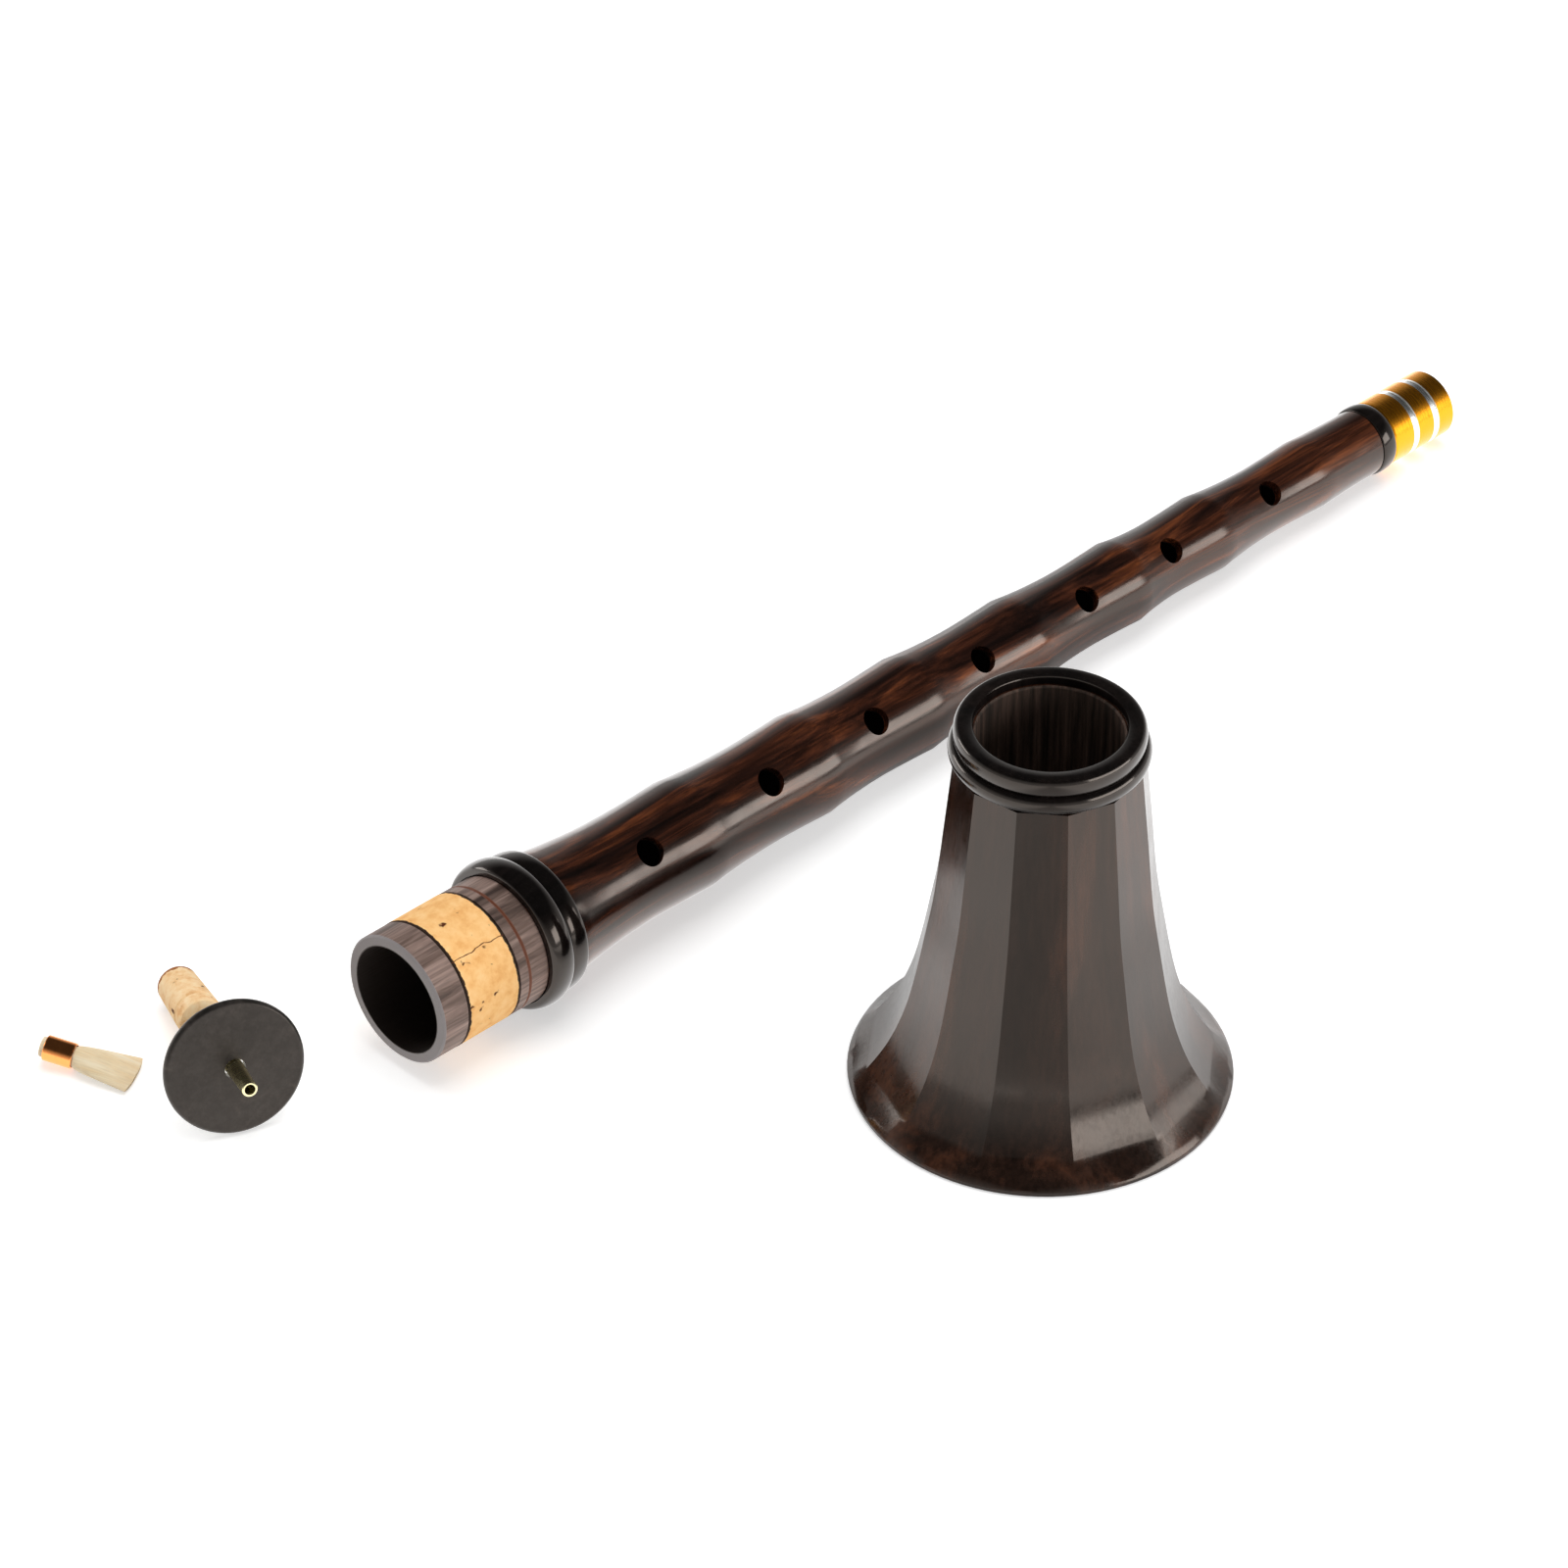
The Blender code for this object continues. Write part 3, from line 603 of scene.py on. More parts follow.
# %% [markdown]
# ## Metals
# The sleeve is gold anodised aluminium with two grooves cut through the colour to bright metal. The
# staple is pale brass, and the reed's ferrule copper. Turning leaves fine rings round the axis, so the
# roughness reads a noise that is drawn out round the piece and changes quickly along it.

# %% Metals
SLEEVE_START = 0.3188
SLEEVE_GROOVES = (0.0065, 0.0138)
GROOVE_WIDTH = 0.0019
GROOVE_MARGIN = 0.00002
BRIGHT_METAL = (0.92, 0.92, 0.90)
TURNING_STRETCH = (0.02, 0.02, 1.0)
WEAR_SHADE = 0.12


def make_metal(name, place, colour, roughness):
    material, tree, shader = new_finish(name, metallic=1.0)
    own = own_coordinates(tree, place)
    turning = noise(tree, stretched(tree, own, TURNING_STRETCH), 9000.0, 2.0, 0.6)
    darker = tuple(channel * (1 - WEAR_SHADE) for channel in colour)
    feed(tree, shader.inputs["Base Color"], blend(tree, noise(tree, own, 300.0, 4.0), darker, colour))
    smoothest, roughest = roughness
    feed(tree, shader.inputs["Roughness"], ramp(tree, turning, [(0.35, smoothest), (0.65, roughest)]))
    feed(tree, shader.inputs["Normal"], bump(tree, turning, 0.00001, 0.4))
    return material, tree, shader, own


def make_sleeve_gold():
    material, tree, shader, own = make_metal("gold_anodised", TUBE_FRAME, (0.92, 0.36, 0.018), (0.20, 0.30))
    along = split(tree, own)[2]
    cuts = [within(tree, along, SLEEVE_START + groove + GROOVE_WIDTH / 2, GROOVE_WIDTH / 2 + GROOVE_MARGIN)
            for groove in SLEEVE_GROOVES]
    gold = shader.inputs["Base Color"].links[0].from_socket
    bright = calculate(tree, "MAXIMUM", *cuts)
    feed(tree, shader.inputs["Base Color"], blend(tree, bright, gold, BRIGHT_METAL))
    return material


GOLD = make_sleeve_gold()
BRASS = make_metal("pale_brass", STAPLE_FRAME, (0.80, 0.72, 0.42), (0.22, 0.34))[0]
COPPER = make_metal("copper", REED_FRAME, (0.95, 0.34, 0.10), (0.16, 0.26))[0]
print("metals:", GOLD.name, BRASS.name, COPPER.name)

# %% [markdown]
# ## Cane
# A reed is scraped cane: pale cream, with fine straight fibres from root to tip and a slightly darker
# tip.

# %% Cane
TIP_START = 0.0190
TIP_BLUR = 0.006
TIP_TINT = 0.20
CANE_ROUGHNESS = 0.6


def make_cane():
    material, tree, shader = new_finish("scraped_cane", specular=0.3)
    own = own_coordinates(tree, REED_FRAME)
    along = split(tree, own)[2]
    grain = use_group(tree, grain_group, Vector=own, Streak_Scale=500.0, Fibre_Scale=2600.0, Swirl=0.1)
    streaks = ramp(tree, grain["Streaks"], [
        (0.35, (0.90, 0.70, 0.42)), (0.55, (0.97, 0.82, 0.57)), (0.72, (1.0, 0.90, 0.70))])
    pores = ramp(tree, grain["Fibres"], [(0.36, 0.55), (0.55, 1.0)])
    colour = blend(tree, 0.2, streaks, pores, "MULTIPLY")
    tip = calculate(tree, "MULTIPLY", step(tree, along, TIP_START, TIP_BLUR), TIP_TINT)
    feed(tree, shader.inputs["Base Color"], blend(tree, tip, colour, (0.72, 0.50, 0.30)))
    shader.inputs["Roughness"].default_value = CANE_ROUGHNESS
    feed(tree, shader.inputs["Normal"], bump(tree, grain["Fibres"], 0.00012, 0.6))
    return material


CANE = make_cane()
print("materials so far:", len(bpy.data.materials))

# %% [markdown]
# ## Turning on a lathe, with edit mode
# Nearly every piece is turned. A Screw modifier could do it in one go, but extruding a circle ring by
# ring shows how the profile grows: each step extrudes the last ring along Z and scales it to its new
# radius. The profile runs up the outside and back down the inside, and a bridge between the last ring and
# the first closes the wall.

# %% Growing a piece ring by ring
FINE_SIDES = 96
SMALL_SIDES = 64


def start_ring(name, sides, station, radius, turn=0.0):
    bpy.ops.object.select_all(action="DESELECT")
    bpy.ops.mesh.primitive_circle_add(
        vertices=sides, radius=radius, location=(0, 0, station), rotation=(0, 0, turn))
    piece = bpy.context.object
    piece.name = name
    piece.data.name = name
    bpy.ops.object.mode_set(mode="EDIT")
    bpy.ops.mesh.select_all(action="SELECT")
    return piece


def round_rings(points):
    """A ring is (station, half size across X, half size across Y)."""
    return [(station, radius, radius) for station, radius in points]


def grow(rings):
    """Extrudes the selected ring, which is the first of these, through all the others."""
    for here, there in zip(rings, rings[1:]):
        bpy.ops.mesh.extrude_edges_move(TRANSFORM_OT_translate={"value": (0, 0, there[0] - here[0])})
        bpy.ops.transform.resize(
            value=(there[1] / here[1], there[2] / here[2], 1), center_override=(0, 0, there[0]))


def points_so_far(piece):
    """The mesh takes in what was edited when edit mode is left."""
    bpy.ops.object.mode_set(mode="OBJECT")
    count = len(piece.data.vertices)
    bpy.ops.object.mode_set(mode="EDIT")
    return count


# %% Closing a piece


def select_rings(piece, sides, *starts):
    """Selects rings of points, each given by the number of its first point."""
    bpy.ops.mesh.select_all(action="DESELECT")
    bpy.ops.object.mode_set(mode="OBJECT")
    for vertex in piece.data.vertices:
        vertex.select = any(start <= vertex.index < start + sides for start in starts)
    bpy.ops.object.mode_set(mode="EDIT")


def close_wall(piece, sides, *starts):
    select_rings(piece, sides, *starts)
    bpy.ops.mesh.bridge_edge_loops()
    bpy.ops.mesh.select_all(action="SELECT")
    bpy.ops.mesh.normals_make_consistent(inside=False)
    bpy.ops.object.mode_set(mode="OBJECT")


def turned(name, outside, inside, sides=FINE_SIDES):
    """Both lists of (station, radius) run from the first station to the last."""
    piece = start_ring(name, sides, *outside[0])
    grow(round_rings(outside + inside[::-1]))
    close_wall(piece, sides, 0, points_so_far(piece) - sides)
    return piece


# %% Laying a piece in its place
CREASE = math.radians(32)


def lay_down(piece, place, finish, body, node, crease=CREASE):
    """Puts a finished shape in its place, with its finish, and ties it to the model."""
    bpy.ops.object.select_all(action="DESELECT")
    piece.select_set(True)
    bpy.context.view_layer.objects.active = piece
    bpy.ops.object.transform_apply(location=True, rotation=True, scale=True)
    piece.matrix_world = place
    bpy.ops.object.transform_apply(location=True, rotation=True, scale=True)
    bpy.ops.object.shade_smooth_by_angle(angle=crease)
    piece.data.materials.clear()
    piece.data.materials.append(finish)
    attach(piece, body)
    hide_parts(node)
    print(piece.name, "has", len(piece.data.polygons), "faces")


# %% Helpers for outlines
BEAD_STEPS = 14


def mix(start, end, share):
    return start + (end - start) * share


def shares_of(steps):
    return [i / steps for i in range(1, steps + 1)]


def bead(start, length, edge_radius, crest_radius):
    """A half-round bead as outline points."""
    turns = [math.pi * i / BEAD_STEPS for i in range(BEAD_STEPS + 1)]
    return [(start + length * (1 - math.cos(turn)) / 2,
             edge_radius + (crest_radius - edge_radius) * math.sin(turn)) for turn in turns]


print("a bead has", BEAD_STEPS + 1, "rings")

# %% [markdown]
# ## The tube
# Its outline is like bamboo: a waist just past each finger hole, then a slow rise to a ridge, with a
# crisp crease. The holes are cut with a Boolean, because they cross the curved wall at an angle. They are
# rolled 42 degrees from the top, and the thumb hole is opposite.

# %% Sizes of the tube
TUBE_LENGTH = 0.340
TENON_RADIUS = 0.0152
TENON_CHAMFER = 0.0004
RECESS_RADIUS = 0.0136
SCRIBE_DEPTH = 0.0003
RING_END = 0.0414
FINGER_HOLES = (0.0675, 0.1055, 0.1395, 0.1750, 0.2105, 0.2400, 0.2755)
THUMB_HOLE = 0.2620
HOLES_TURN = math.radians(42)
WAIST_AFTER = 0.0025
RIDGE_AFTER = 0.0178
HEAD_RING_START = 0.3142
SPIGOT_END = 0.3387
SPIGOT_RADIUS = 0.0069
SOCKET_RADIUS = 0.0056
DRILL_LENGTH = 0.024
DRILL_SIDES = 56
WAIST_STEPS = 8
RIDGE_STEPS = 5
SHOULDER_STEPS = 6
# Radii at the first finger hole and at the last one.
WAIST_RADII = (0.0128, 0.0083)
RIDGE_RADII = (0.0132, 0.0089)
HOLE_RADII = (0.0034, 0.0031)

TENON_OUTLINE = [
    (0.0, TENON_RADIUS - TENON_CHAMFER), (TENON_CHAMFER, TENON_RADIUS),
    (RECESS_START, TENON_RADIUS), (RECESS_START, RECESS_RADIUS),
    (RECESS_END, RECESS_RADIUS), (RECESS_END, TENON_RADIUS),
    (SCRIBE_LINE - SCRIBE_DEPTH, TENON_RADIUS), (SCRIBE_LINE, TENON_RADIUS - SCRIBE_DEPTH),
    (SCRIBE_LINE + SCRIBE_DEPTH, TENON_RADIUS), (RING_END, TENON_RADIUS),
]
TUBE_INSIDE = [(0.0, BORE_FOOT), (SOCKET_START, BORE_HEAD), (SOCKET_START, SOCKET_RADIUS),
               (SPIGOT_END, SOCKET_RADIUS)]
print("holes along the tube in mm:", [round(1000 * hole, 1) for hole in FINGER_HOLES])

# %% Tube body


def along_holes(station, first, last):
    """A value that changes evenly from the first finger hole to the last."""
    return mix(first, last, (station - FINGER_HOLES[0]) / (FINGER_HOLES[-1] - FINGER_HOLES[0]))


def tube_outline():
    points = list(TENON_OUTLINE)
    station, radius = points[-1]
    for hole in FINGER_HOLES:
        waist, waist_radius = hole + WAIST_AFTER, along_holes(hole, *WAIST_RADII)
        points += [(mix(station, waist, share), mix(waist_radius, radius, (1 - share) ** 2))
                   for share in shares_of(WAIST_STEPS)]
        ridge, ridge_radius = hole + RIDGE_AFTER, along_holes(hole, *RIDGE_RADII)
        points += [(mix(waist, ridge, share), mix(waist_radius, ridge_radius, share**1.5))
                   for share in shares_of(RIDGE_STEPS)]
        station, radius = points[-1]
    shoulder = HEAD_RING_START - SEAT_GAP
    points += [(mix(station, shoulder, share), mix(WAIST_RADII[-1], radius, (1 - share) ** 2))
               for share in shares_of(SHOULDER_STEPS)]
    return points + [(shoulder, SPIGOT_RADIUS), (SPIGOT_END, SPIGOT_RADIUS)]


def add_drill(station, turn):
    outward = Vector((-math.cos(turn), -math.sin(turn), 0))
    bpy.ops.mesh.primitive_cylinder_add(
        vertices=DRILL_SIDES, radius=along_holes(station, *HOLE_RADII), depth=DRILL_LENGTH,
        location=outward * (DRILL_LENGTH / 2) + Vector((0, 0, station)),
        rotation=outward.to_track_quat("Z", "Y").to_euler())
    return bpy.context.object


def cut_holes(body):
    bpy.ops.object.select_all(action="DESELECT")
    holes = [(station, HOLES_TURN) for station in FINGER_HOLES] + [(THUMB_HOLE, HOLES_TURN + math.pi)]
    drills = [add_drill(station, turn) for station, turn in holes]
    for drill in drills:
        drill.select_set(True)
    bpy.context.view_layer.objects.active = drills[0]
    bpy.ops.object.join()
    joined = bpy.context.object
    bpy.ops.object.select_all(action="DESELECT")
    body.select_set(True)
    bpy.context.view_layer.objects.active = body
    boolean = body.modifiers.new("holes", "BOOLEAN")
    boolean.object = joined
    boolean.solver = "EXACT"
    bpy.ops.object.modifier_apply(modifier="holes")
    bpy.data.objects.remove(joined, do_unlink=True)


tube = turned("rosewood_tube", tube_outline(), TUBE_INSIDE)
cut_holes(tube)
lay_down(tube, TUBE_FRAME, ROSEWOOD, "tube", "body_tube")

# %% [markdown]
# ## Cork sheet, rings and sleeve of the tube
# These are thin sleeves round the tube. The cork lies in a shallow recess, the black rings are half-round
# beads, and the gold sleeve has two grooves and small chamfers that catch the light.

# %% Cork sheet
SHEET_RADIUS = 0.01525
SHEET_EDGE_RADIUS = 0.01510
SHEET_EDGE = 0.0002

sheet_inside = RECESS_RADIUS + SEAT_GAP
cork_sheet = turned(
    "tenon_cork_sheet",
    [(TENON_CORK_START, SHEET_EDGE_RADIUS), (TENON_CORK_START + SHEET_EDGE, SHEET_RADIUS),
     (TENON_CORK_END - SHEET_EDGE, SHEET_RADIUS), (TENON_CORK_END, SHEET_EDGE_RADIUS)],
    [(TENON_CORK_START, sheet_inside), (TENON_CORK_END, sheet_inside)])
lay_down(cork_sheet, TUBE_FRAME, TENON_CORK, "tube", "tenon_cork")

# %% Black rings of the tube
WIDE_BEAD = 0.0065
TENON_BEAD_EDGE = 0.0163
WIDE_CREST = 0.0178
NARROW_CREST = 0.0168
HEAD_RING_LENGTH = 0.0043
HEAD_RING_EDGE = 0.00835
HEAD_RING_CREST = 0.00885

beads_meet = TENON_END + WIDE_BEAD
wide_bead = bead(TENON_END, WIDE_BEAD, TENON_BEAD_EDGE, WIDE_CREST)
narrow_bead = bead(beads_meet, RING_END - beads_meet, TENON_BEAD_EDGE, NARROW_CREST)
ring_inside = TENON_RADIUS + SEAT_GAP
shoulder_ring = turned("tenon_shoulder_ring", wide_bead + narrow_bead[1:],
                       [(TENON_END, ring_inside), (RING_END, ring_inside)])
lay_down(shoulder_ring, TUBE_FRAME, TUBE_RING_WOOD, "tube", "tenon_ring")

head_ring_end = HEAD_RING_START + HEAD_RING_LENGTH
spigot_clear = SPIGOT_RADIUS + SEAT_GAP
upper_ring = turned("head_bead", bead(HEAD_RING_START, HEAD_RING_LENGTH, HEAD_RING_EDGE, HEAD_RING_CREST),
                    [(HEAD_RING_START, spigot_clear), (head_ring_end, spigot_clear)])
lay_down(upper_ring, TUBE_FRAME, TUBE_RING_WOOD, "tube", "head_ring")

# %% Gold sleeve
SLEEVE_RADIUS = 0.00836
GROOVE_DEPTH = 0.00035
GROOVE_SLOPE = 0.0001
CHAMFER = 0.0004


def sleeve_outline():
    points = [(SLEEVE_START, SLEEVE_RADIUS - CHAMFER), (SLEEVE_START + CHAMFER, SLEEVE_RADIUS)]
    low = SLEEVE_RADIUS - GROOVE_DEPTH
    for groove in SLEEVE_GROOVES:
        near, far = SLEEVE_START + groove, SLEEVE_START + groove + GROOVE_WIDTH
        points += [(near, SLEEVE_RADIUS), (near + GROOVE_SLOPE, low), (far - GROOVE_SLOPE, low),
                   (far, SLEEVE_RADIUS)]
    return points + [(TUBE_LENGTH - CHAMFER, SLEEVE_RADIUS), (TUBE_LENGTH, SLEEVE_RADIUS - CHAMFER)]


cap_inside = SPIGOT_END + SEAT_GAP
sleeve = turned("gold_sleeve", sleeve_outline(),
                [(SLEEVE_START, spigot_clear), (cap_inside, spigot_clear), (cap_inside, SOCKET_RADIUS),
                 (TUBE_LENGTH, SOCKET_RADIUS)])
lay_down(sleeve, TUBE_FRAME, GOLD, "tube", "head_sleeve")

# %% [markdown]
# ## The bell
# The bell has twelve flat facets that run up from the flare to the ring, but its foot and neck are round.
# The first ring is a twelve-sided polygon with seven cuts in each side. Extruding it keeps the facets,
# and the To Sphere operator rounds the foot and neck rings. It starts above the foot, so that the foot is
# rounded last.

# %% Sizes of the bell
BELL_HEIGHT = 0.0945
BELL_TURN = math.radians(-6)
BELL_SIDES = 12
FACET_CUTS = 7
BELL_POINTS = BELL_SIDES * (FACET_CUTS + 1)
BELL_CREASE = math.radians(20)
BELL_OUTLINE = (
    (0.0050, 0.0384), (0.0085, 0.0358), (0.0125, 0.0334), (0.0175, 0.0312), (0.0230, 0.0294),
    (0.0300, 0.0278), (0.0400, 0.0260), (0.0520, 0.0240), (0.0680, 0.0224), (0.0858, 0.0206),
)
FOOT_OUTLINE = [(0.0026, 0.0409), (0.0014, 0.0420), (0.0010, 0.0422), (0.0, 0.0420)]
FOOT_ROUNDING = 0.6
FOOT_INSIDE = (0.0, 0.0398)
NECK_RADIUS = 0.0182
WOOD_TOP = 0.0922
BELL_SOCKET_RADIUS = 0.0156
BELL_SOCKET_FLOOR = 0.0640
BELL_SOCKET_EDGE = 0.0004
BELL_WALL = 0.0048
FLARE_INSIDE_TOP = 0.0544

BELL_SOCKET = [
    (WOOD_TOP, NECK_RADIUS), (WOOD_TOP, BELL_SOCKET_RADIUS + BELL_SOCKET_EDGE),
    (WOOD_TOP - BELL_SOCKET_EDGE, BELL_SOCKET_RADIUS), (BELL_SOCKET_FLOOR, BELL_SOCKET_RADIUS),
    (BELL_SOCKET_FLOOR, BORE_FOOT),
]
print("points round the bell:", BELL_POINTS)

# %% Curves and rounding of the bell


def finer(outline, steps=3):
    """Points between the given ones, on a curve with the slopes of their neighbours."""
    slopes = []
    for i in range(len(outline)):
        before, after = outline[max(i - 1, 0)], outline[min(i + 1, len(outline) - 1)]
        slopes.append((after[1] - before[1]) / (after[0] - before[0]))
    points = [outline[0]]
    for (a, b), (slope_a, slope_b) in zip(zip(outline, outline[1:]), zip(slopes, slopes[1:])):
        span = b[0] - a[0]
        for t in shares_of(steps):
            value = ((2 * t**3 - 3 * t**2 + 1) * a[1] + (t**3 - 2 * t**2 + t) * span * slope_a
                     + (3 * t**2 - 2 * t**3) * b[1] + (t**3 - t**2) * span * slope_b)
            points.append((mix(a[0], b[0], t), value))
    return points


def mean_reach(corner_radius):
    """Mean distance from the axis of the points on a twelve-sided ring."""
    turn = 2 * math.pi / BELL_SIDES
    corner = Vector((corner_radius, 0))
    after = Vector((corner_radius * math.cos(turn), corner_radius * math.sin(turn)))
    shares = [i / (FACET_CUTS + 1) for i in range(FACET_CUTS + 1)]
    return sum(corner.lerp(after, share).length for share in shares) / len(shares)


def round_off(station, radius, amount=1.0):
    """Rounds the selected ring and brings it back to its radius."""
    bpy.ops.transform.tosphere(value=amount, center_override=(0, 0, station))
    scale = radius / mix(radius, mean_reach(radius), amount)
    bpy.ops.transform.resize(value=(scale, scale, 1), center_override=(0, 0, station))


# %% Bell


def make_bell():
    flare = finer(BELL_OUTLINE)
    piece = start_ring("faceted_bell", BELL_SIDES, *flare[0], turn=BELL_TURN)
    bpy.ops.mesh.subdivide(number_cuts=FACET_CUTS)
    neck = (flare[-1][0], NECK_RADIUS)
    grow(round_rings(flare + [neck]))
    round_off(*neck)
    flare_inside = [(height, radius - BELL_WALL) for height, radius in flare if height < FLARE_INSIDE_TOP]
    grow(round_rings([neck] + BELL_SOCKET + flare_inside[::-1] + [FOOT_INSIDE]))
    inner_end = points_so_far(piece)
    select_rings(piece, BELL_POINTS, 0)
    grow(round_rings([flare[0], FOOT_OUTLINE[0]]))
    round_off(*FOOT_OUTLINE[0], FOOT_ROUNDING)
    grow(round_rings(FOOT_OUTLINE[:2]))
    bpy.ops.transform.tosphere(value=1.0, center_override=(0, 0, FOOT_OUTLINE[1][0]))
    grow(round_rings(FOOT_OUTLINE[1:]))
    close_wall(piece, BELL_POINTS, inner_end - BELL_POINTS, points_so_far(piece) - BELL_POINTS)
    return piece


bell = make_bell()
lay_down(bell, BELL_FRAME, BELL_WOOD, "bell", "bell", BELL_CREASE)

# %% [markdown]
# ## The bell's black ring
# The ring covers the end of the wood. Its lower bead is whole, and its upper bead only rises: past its
# crest it rolls over to the mouth, where the tenon goes in.

# %% Neck ring
BELL_RING_START = 0.0861
NECK_BEAD = 0.0042
NECK_BEAD_EDGE = 0.0199
LOWER_CREST = 0.0214
UPPER_CREST = 0.0204
MOUTH_EDGE_RADIUS = 0.0192
MOUTH_RADIUS = 0.0162
# Steps down from the top, and how much wider than the mouth the ring is there.
MOUTH_LIP = ((0.0, 0.0006), (0.0002, 0.0002), (0.0006, 0.0))

lower_bead = bead(BELL_RING_START, NECK_BEAD, NECK_BEAD_EDGE, LOWER_CREST)
whole_upper_bead = bead(BELL_RING_START + NECK_BEAD, NECK_BEAD, NECK_BEAD_EDGE, UPPER_CREST)
upper_bead = whole_upper_bead[1:BEAD_STEPS // 2 + 1]
crest_station, crest_radius = upper_bead[-1]
roll_over = [(mix(crest_station, BELL_HEIGHT, math.sin(turn)),
              mix(MOUTH_EDGE_RADIUS, crest_radius, math.cos(turn)))
             for turn in (math.radians(angle) for angle in range(15, 91, 15))]
mouth_lip = [(BELL_HEIGHT - down, MOUTH_RADIUS + wider) for down, wider in MOUTH_LIP]
wood_clear = NECK_RADIUS + SEAT_GAP
top_clear = WOOD_TOP + SEAT_GAP
neck_ring = turned("bell_neck_ring", lower_bead + upper_bead + roll_over + mouth_lip,
                   [(BELL_RING_START, wood_clear), (top_clear, wood_clear), (top_clear, MOUTH_RADIUS)])
lay_down(neck_ring, BELL_FRAME, BELL_RING_WOOD, "bell", "bell_ring")

# %% [markdown]
# ## The staple, its cork and the lip disc
# The staple is a tapered brass tube. Its cork plugs into the tube's sleeve, and the player's lips rest
# against the disc. All three are turned, and the cork and the disc have a clearance of 0.3 mm on the
# brass.

# %% Brass tube
STAPLE_LENGTH = 0.0575
BRASS_TIP = 0.0017
BRASS_FOOT = 0.0031
BRASS_EDGE = 0.0002
BRASS_LAST_FULL = 0.00309
BRASS_BORE = [(0.0, 0.00120), (BRASS_EDGE, 0.00115), (STAPLE_LENGTH, 0.0024)]


def staple_radius(station):
    return mix(BRASS_TIP, BRASS_FOOT, station / STAPLE_LENGTH)


brass_tube = turned(
    "brass_staple",
    [(0.0, BRASS_TIP - BRASS_EDGE), (BRASS_EDGE, BRASS_TIP),
     (STAPLE_LENGTH - BRASS_EDGE, BRASS_LAST_FULL), (STAPLE_LENGTH, BRASS_FOOT - BRASS_EDGE)],
    BRASS_BORE, sides=SMALL_SIDES)
lay_down(brass_tube, STAPLE_FRAME, BRASS, "staple", "staple_tube")

# %% Cork plug
PLUG_NEAR = 0.0362
PLUG_GROOVE = PLUG_NEAR + 0.0047
PLUG_NEAR_RADIUS = 0.0053
PLUG_FAR_RADIUS = 0.0046
PLUG_END_CHAMFER = 0.0004
# Steps from the near end, and the radius there.
PLUG_START = ((0.0, 0.0043), (0.0003, 0.0050), (0.0010, 0.00526))
# Steps along the groove, and how deep it is there.
GROOVE_SHAPE = ((-0.00045, 0.0), (-0.0002, 0.0003), (0.0, 0.0004), (0.0002, 0.0003), (0.00045, 0.0))

groove_radius = mix(PLUG_NEAR_RADIUS, PLUG_FAR_RADIUS,
                    (PLUG_GROOVE - PLUG_NEAR) / (STAPLE_CORK_END - PLUG_NEAR))
plug_outline = [(PLUG_NEAR + shift, radius) for shift, radius in PLUG_START]
plug_outline += [(PLUG_GROOVE + shift, groove_radius - depth) for shift, depth in GROOVE_SHAPE]
plug_outline += [(STAPLE_CORK_END - PLUG_END_CHAMFER, PLUG_FAR_RADIUS),
                 (STAPLE_CORK_END, PLUG_FAR_RADIUS - PLUG_END_CHAMFER)]
plug_inside = [(station, staple_radius(station) + SEAT_GAP) for station in (PLUG_NEAR, STAPLE_CORK_END)]
cork_plug = turned("staple_cork_plug", plug_outline, plug_inside, sides=SMALL_SIDES)
lay_down(cork_plug, STAPLE_FRAME, STAPLE_CORK, "staple", "staple_cork")

# %% Lip disc
DISC_FRONT = 0.0110
DISC_BACK = 0.0136
DISC_RADIUS = 0.0156
DISC_EDGE = 0.0011
DISC_DISH = 0.00046
HUB_WIDTH = 0.0004

rim_middle, rim_centre = DISC_BACK - DISC_EDGE, DISC_RADIUS - DISC_EDGE
disc_hole = staple_radius(DISC_BACK) + SEAT_GAP
disc_face = [(DISC_FRONT, disc_hole), (DISC_FRONT, disc_hole + HUB_WIDTH)]
disc_face += [(DISC_FRONT + DISC_DISH * share**2, mix(disc_hole, rim_centre, share))
              for share in (0.4, 0.6, 0.8, 1.0)]
disc_rim = [(rim_middle - DISC_EDGE * math.cos(turn), rim_centre + DISC_EDGE * math.sin(turn))
            for turn in (math.radians(angle) for angle in range(15, 181, 15))]
disc = turned("ebony_lip_disc", disc_face + disc_rim, [(DISC_BACK, disc_hole)])
lay_down(disc, STAPLE_FRAME, DISC_EBONY, "disc", "lip_disc")

# %% [markdown]
# ## The reed
# The cane starts as a round tube and is pressed flat towards its tip, so each ring is scaled by two
# different amounts. Going back inside leaves the narrow slit that the player blows through. The ferrule
# is a plain copper tube round its root.

# %% Reed
REED_LENGTH = 0.0218
ROOT_END = 0.0076
ROOT_RADIUS = 0.00225
ROOT_WALL = 0.0004
ROOT_CHAMFER = 0.00015
TIP_HALF_THICKNESS = 0.00065
TIP_HALF_WIDTH = 0.0058
TIP_WALL = 0.00035
TIP_CURVE_START = 0.018
TIP_BULGE = 0.0006
REED_SHARES = (0.0, 0.02, 0.06, 0.12, 0.2, 0.3, 0.42, 0.55, 0.7, 0.85, 0.95, 1.0)


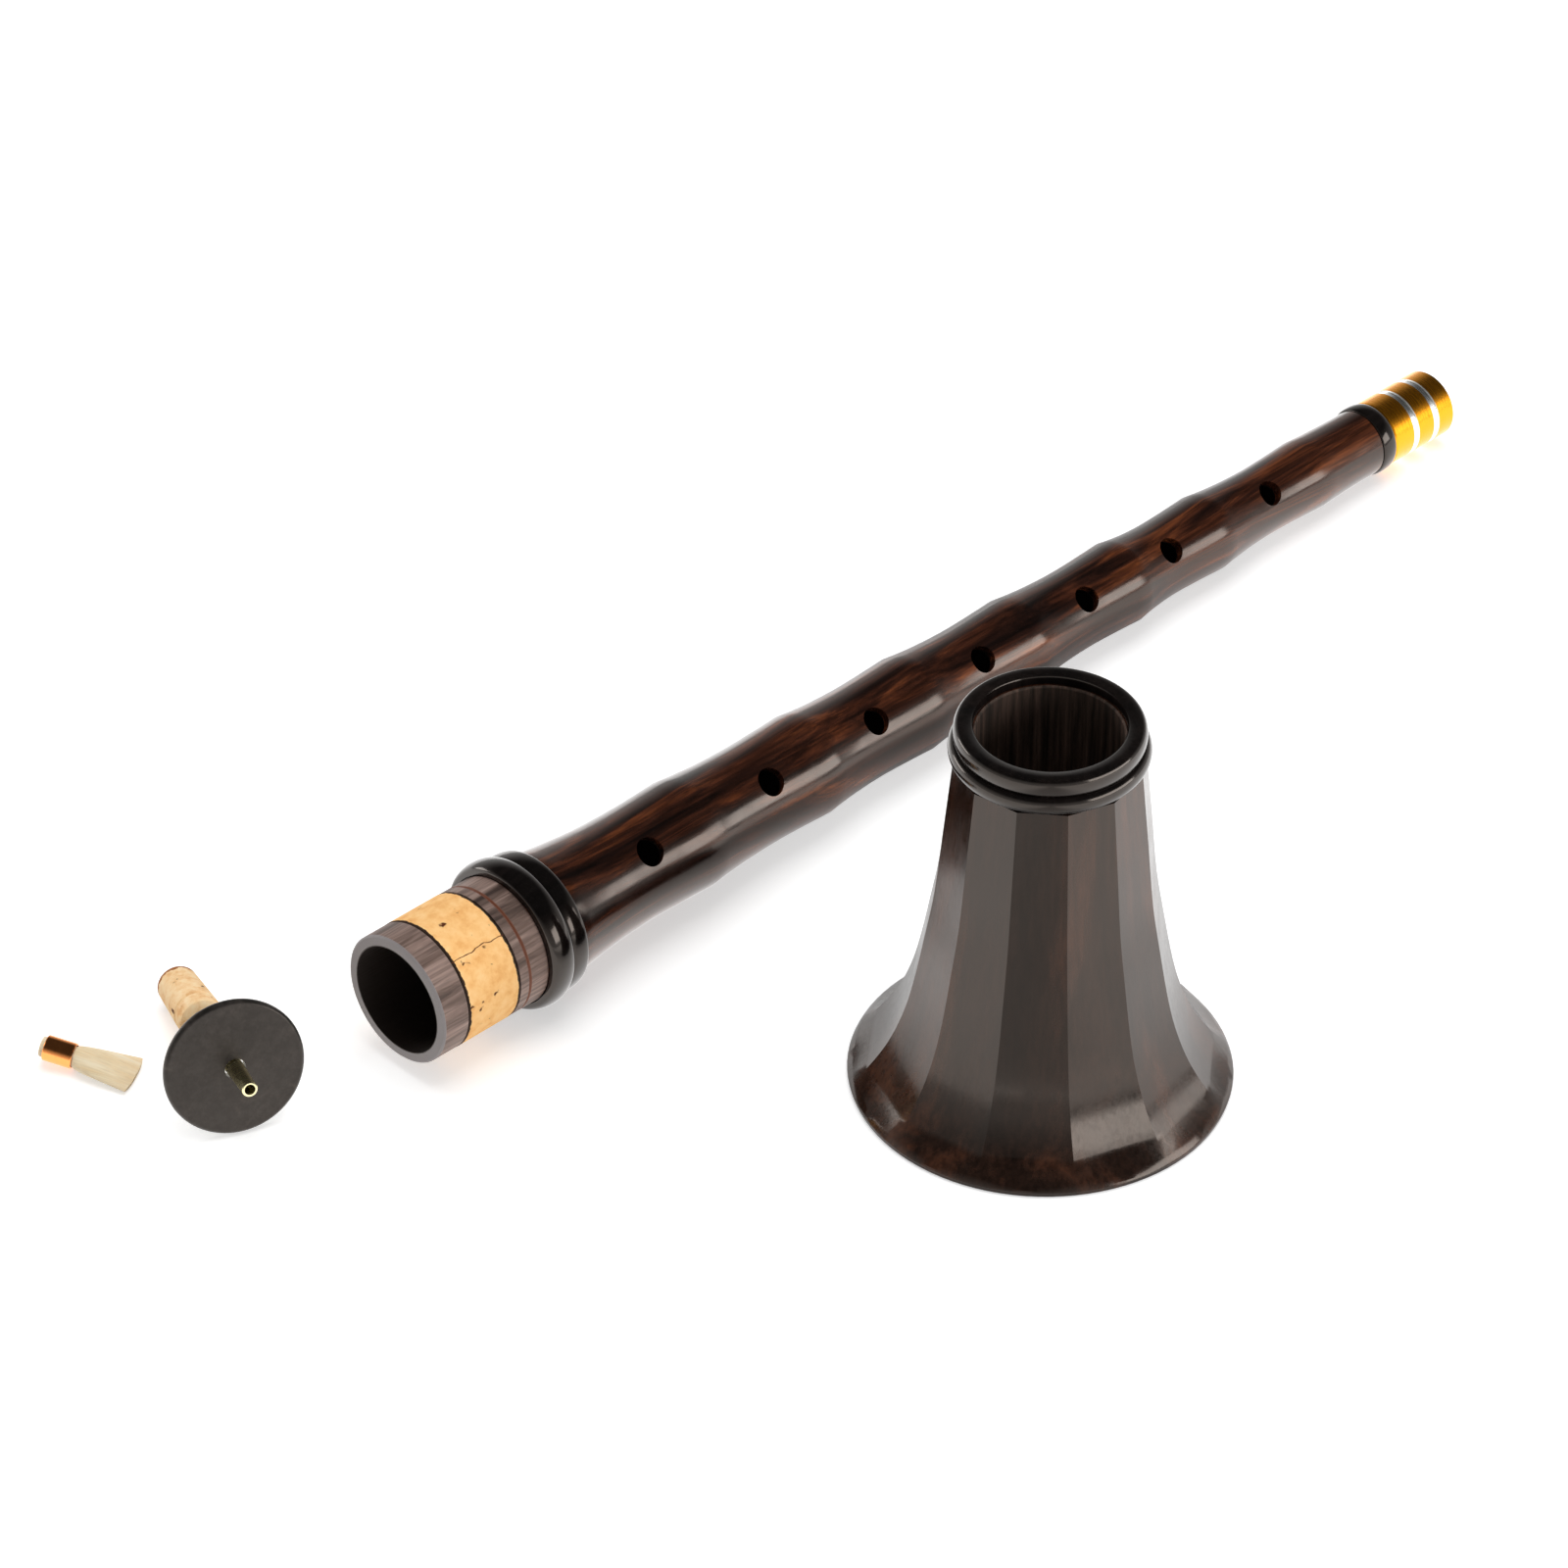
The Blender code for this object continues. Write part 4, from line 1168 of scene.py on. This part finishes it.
def reed_ring(share, wall=0.0):
    half_thickness = mix(ROOT_RADIUS, TIP_HALF_THICKNESS, share**1.1)
    half_width = mix(ROOT_RADIUS, TIP_HALF_WIDTH, share**0.5)
    return (mix(ROOT_END, REED_LENGTH, share), half_thickness - wall, half_width - wall)


def round_tip(piece):
    """Draws the corners of the tip back, so that its edge is a shallow curve."""
    bpy.ops.object.mode_set(mode="OBJECT")
    for vertex in piece.data.vertices:
        near_tip = max(0.0, (vertex.co.z - TIP_CURVE_START) / (REED_LENGTH - TIP_CURVE_START))
        sideways = abs(vertex.co.y) / TIP_HALF_WIDTH
        vertex.co.z -= TIP_BULGE * near_tip * sideways**3
    bpy.ops.object.mode_set(mode="EDIT")


def make_reed():
    root = (0.0, ROOT_RADIUS - ROOT_CHAMFER)
    outer = round_rings([root, (ROOT_CHAMFER, ROOT_RADIUS)]) + [reed_ring(share) for share in REED_SHARES]
    inner = [reed_ring(share, mix(ROOT_WALL, TIP_WALL, share)) for share in reversed(REED_SHARES)]
    piece = start_ring("cane_reed", SMALL_SIDES, *root)
    grow(outer + inner + round_rings([(0.0, ROOT_RADIUS - ROOT_WALL)]))
    round_tip(piece)
    close_wall(piece, SMALL_SIDES, 0, points_so_far(piece) - SMALL_SIDES)
    return piece


reed = make_reed()
lay_down(reed, REED_FRAME, CANE, "reed", "reed_cane")

# %% Ferrule
FERRULE_START = 0.0010
FERRULE_RADIUS = 0.0029
FERRULE_EDGE = 0.00015
FERRULE_EDGE_RADIUS = 0.0028

ferrule_inside = ROOT_RADIUS + SEAT_GAP
ferrule = turned(
    "copper_ferrule",
    [(FERRULE_START, FERRULE_EDGE_RADIUS), (FERRULE_START + FERRULE_EDGE, FERRULE_RADIUS),
     (ROOT_END - FERRULE_EDGE, FERRULE_RADIUS), (ROOT_END, FERRULE_EDGE_RADIUS)],
    [(FERRULE_START, ferrule_inside), (ROOT_END, ferrule_inside)], sides=SMALL_SIDES)
lay_down(ferrule, REED_FRAME, COPPER, "reed", "reed_ferrule")
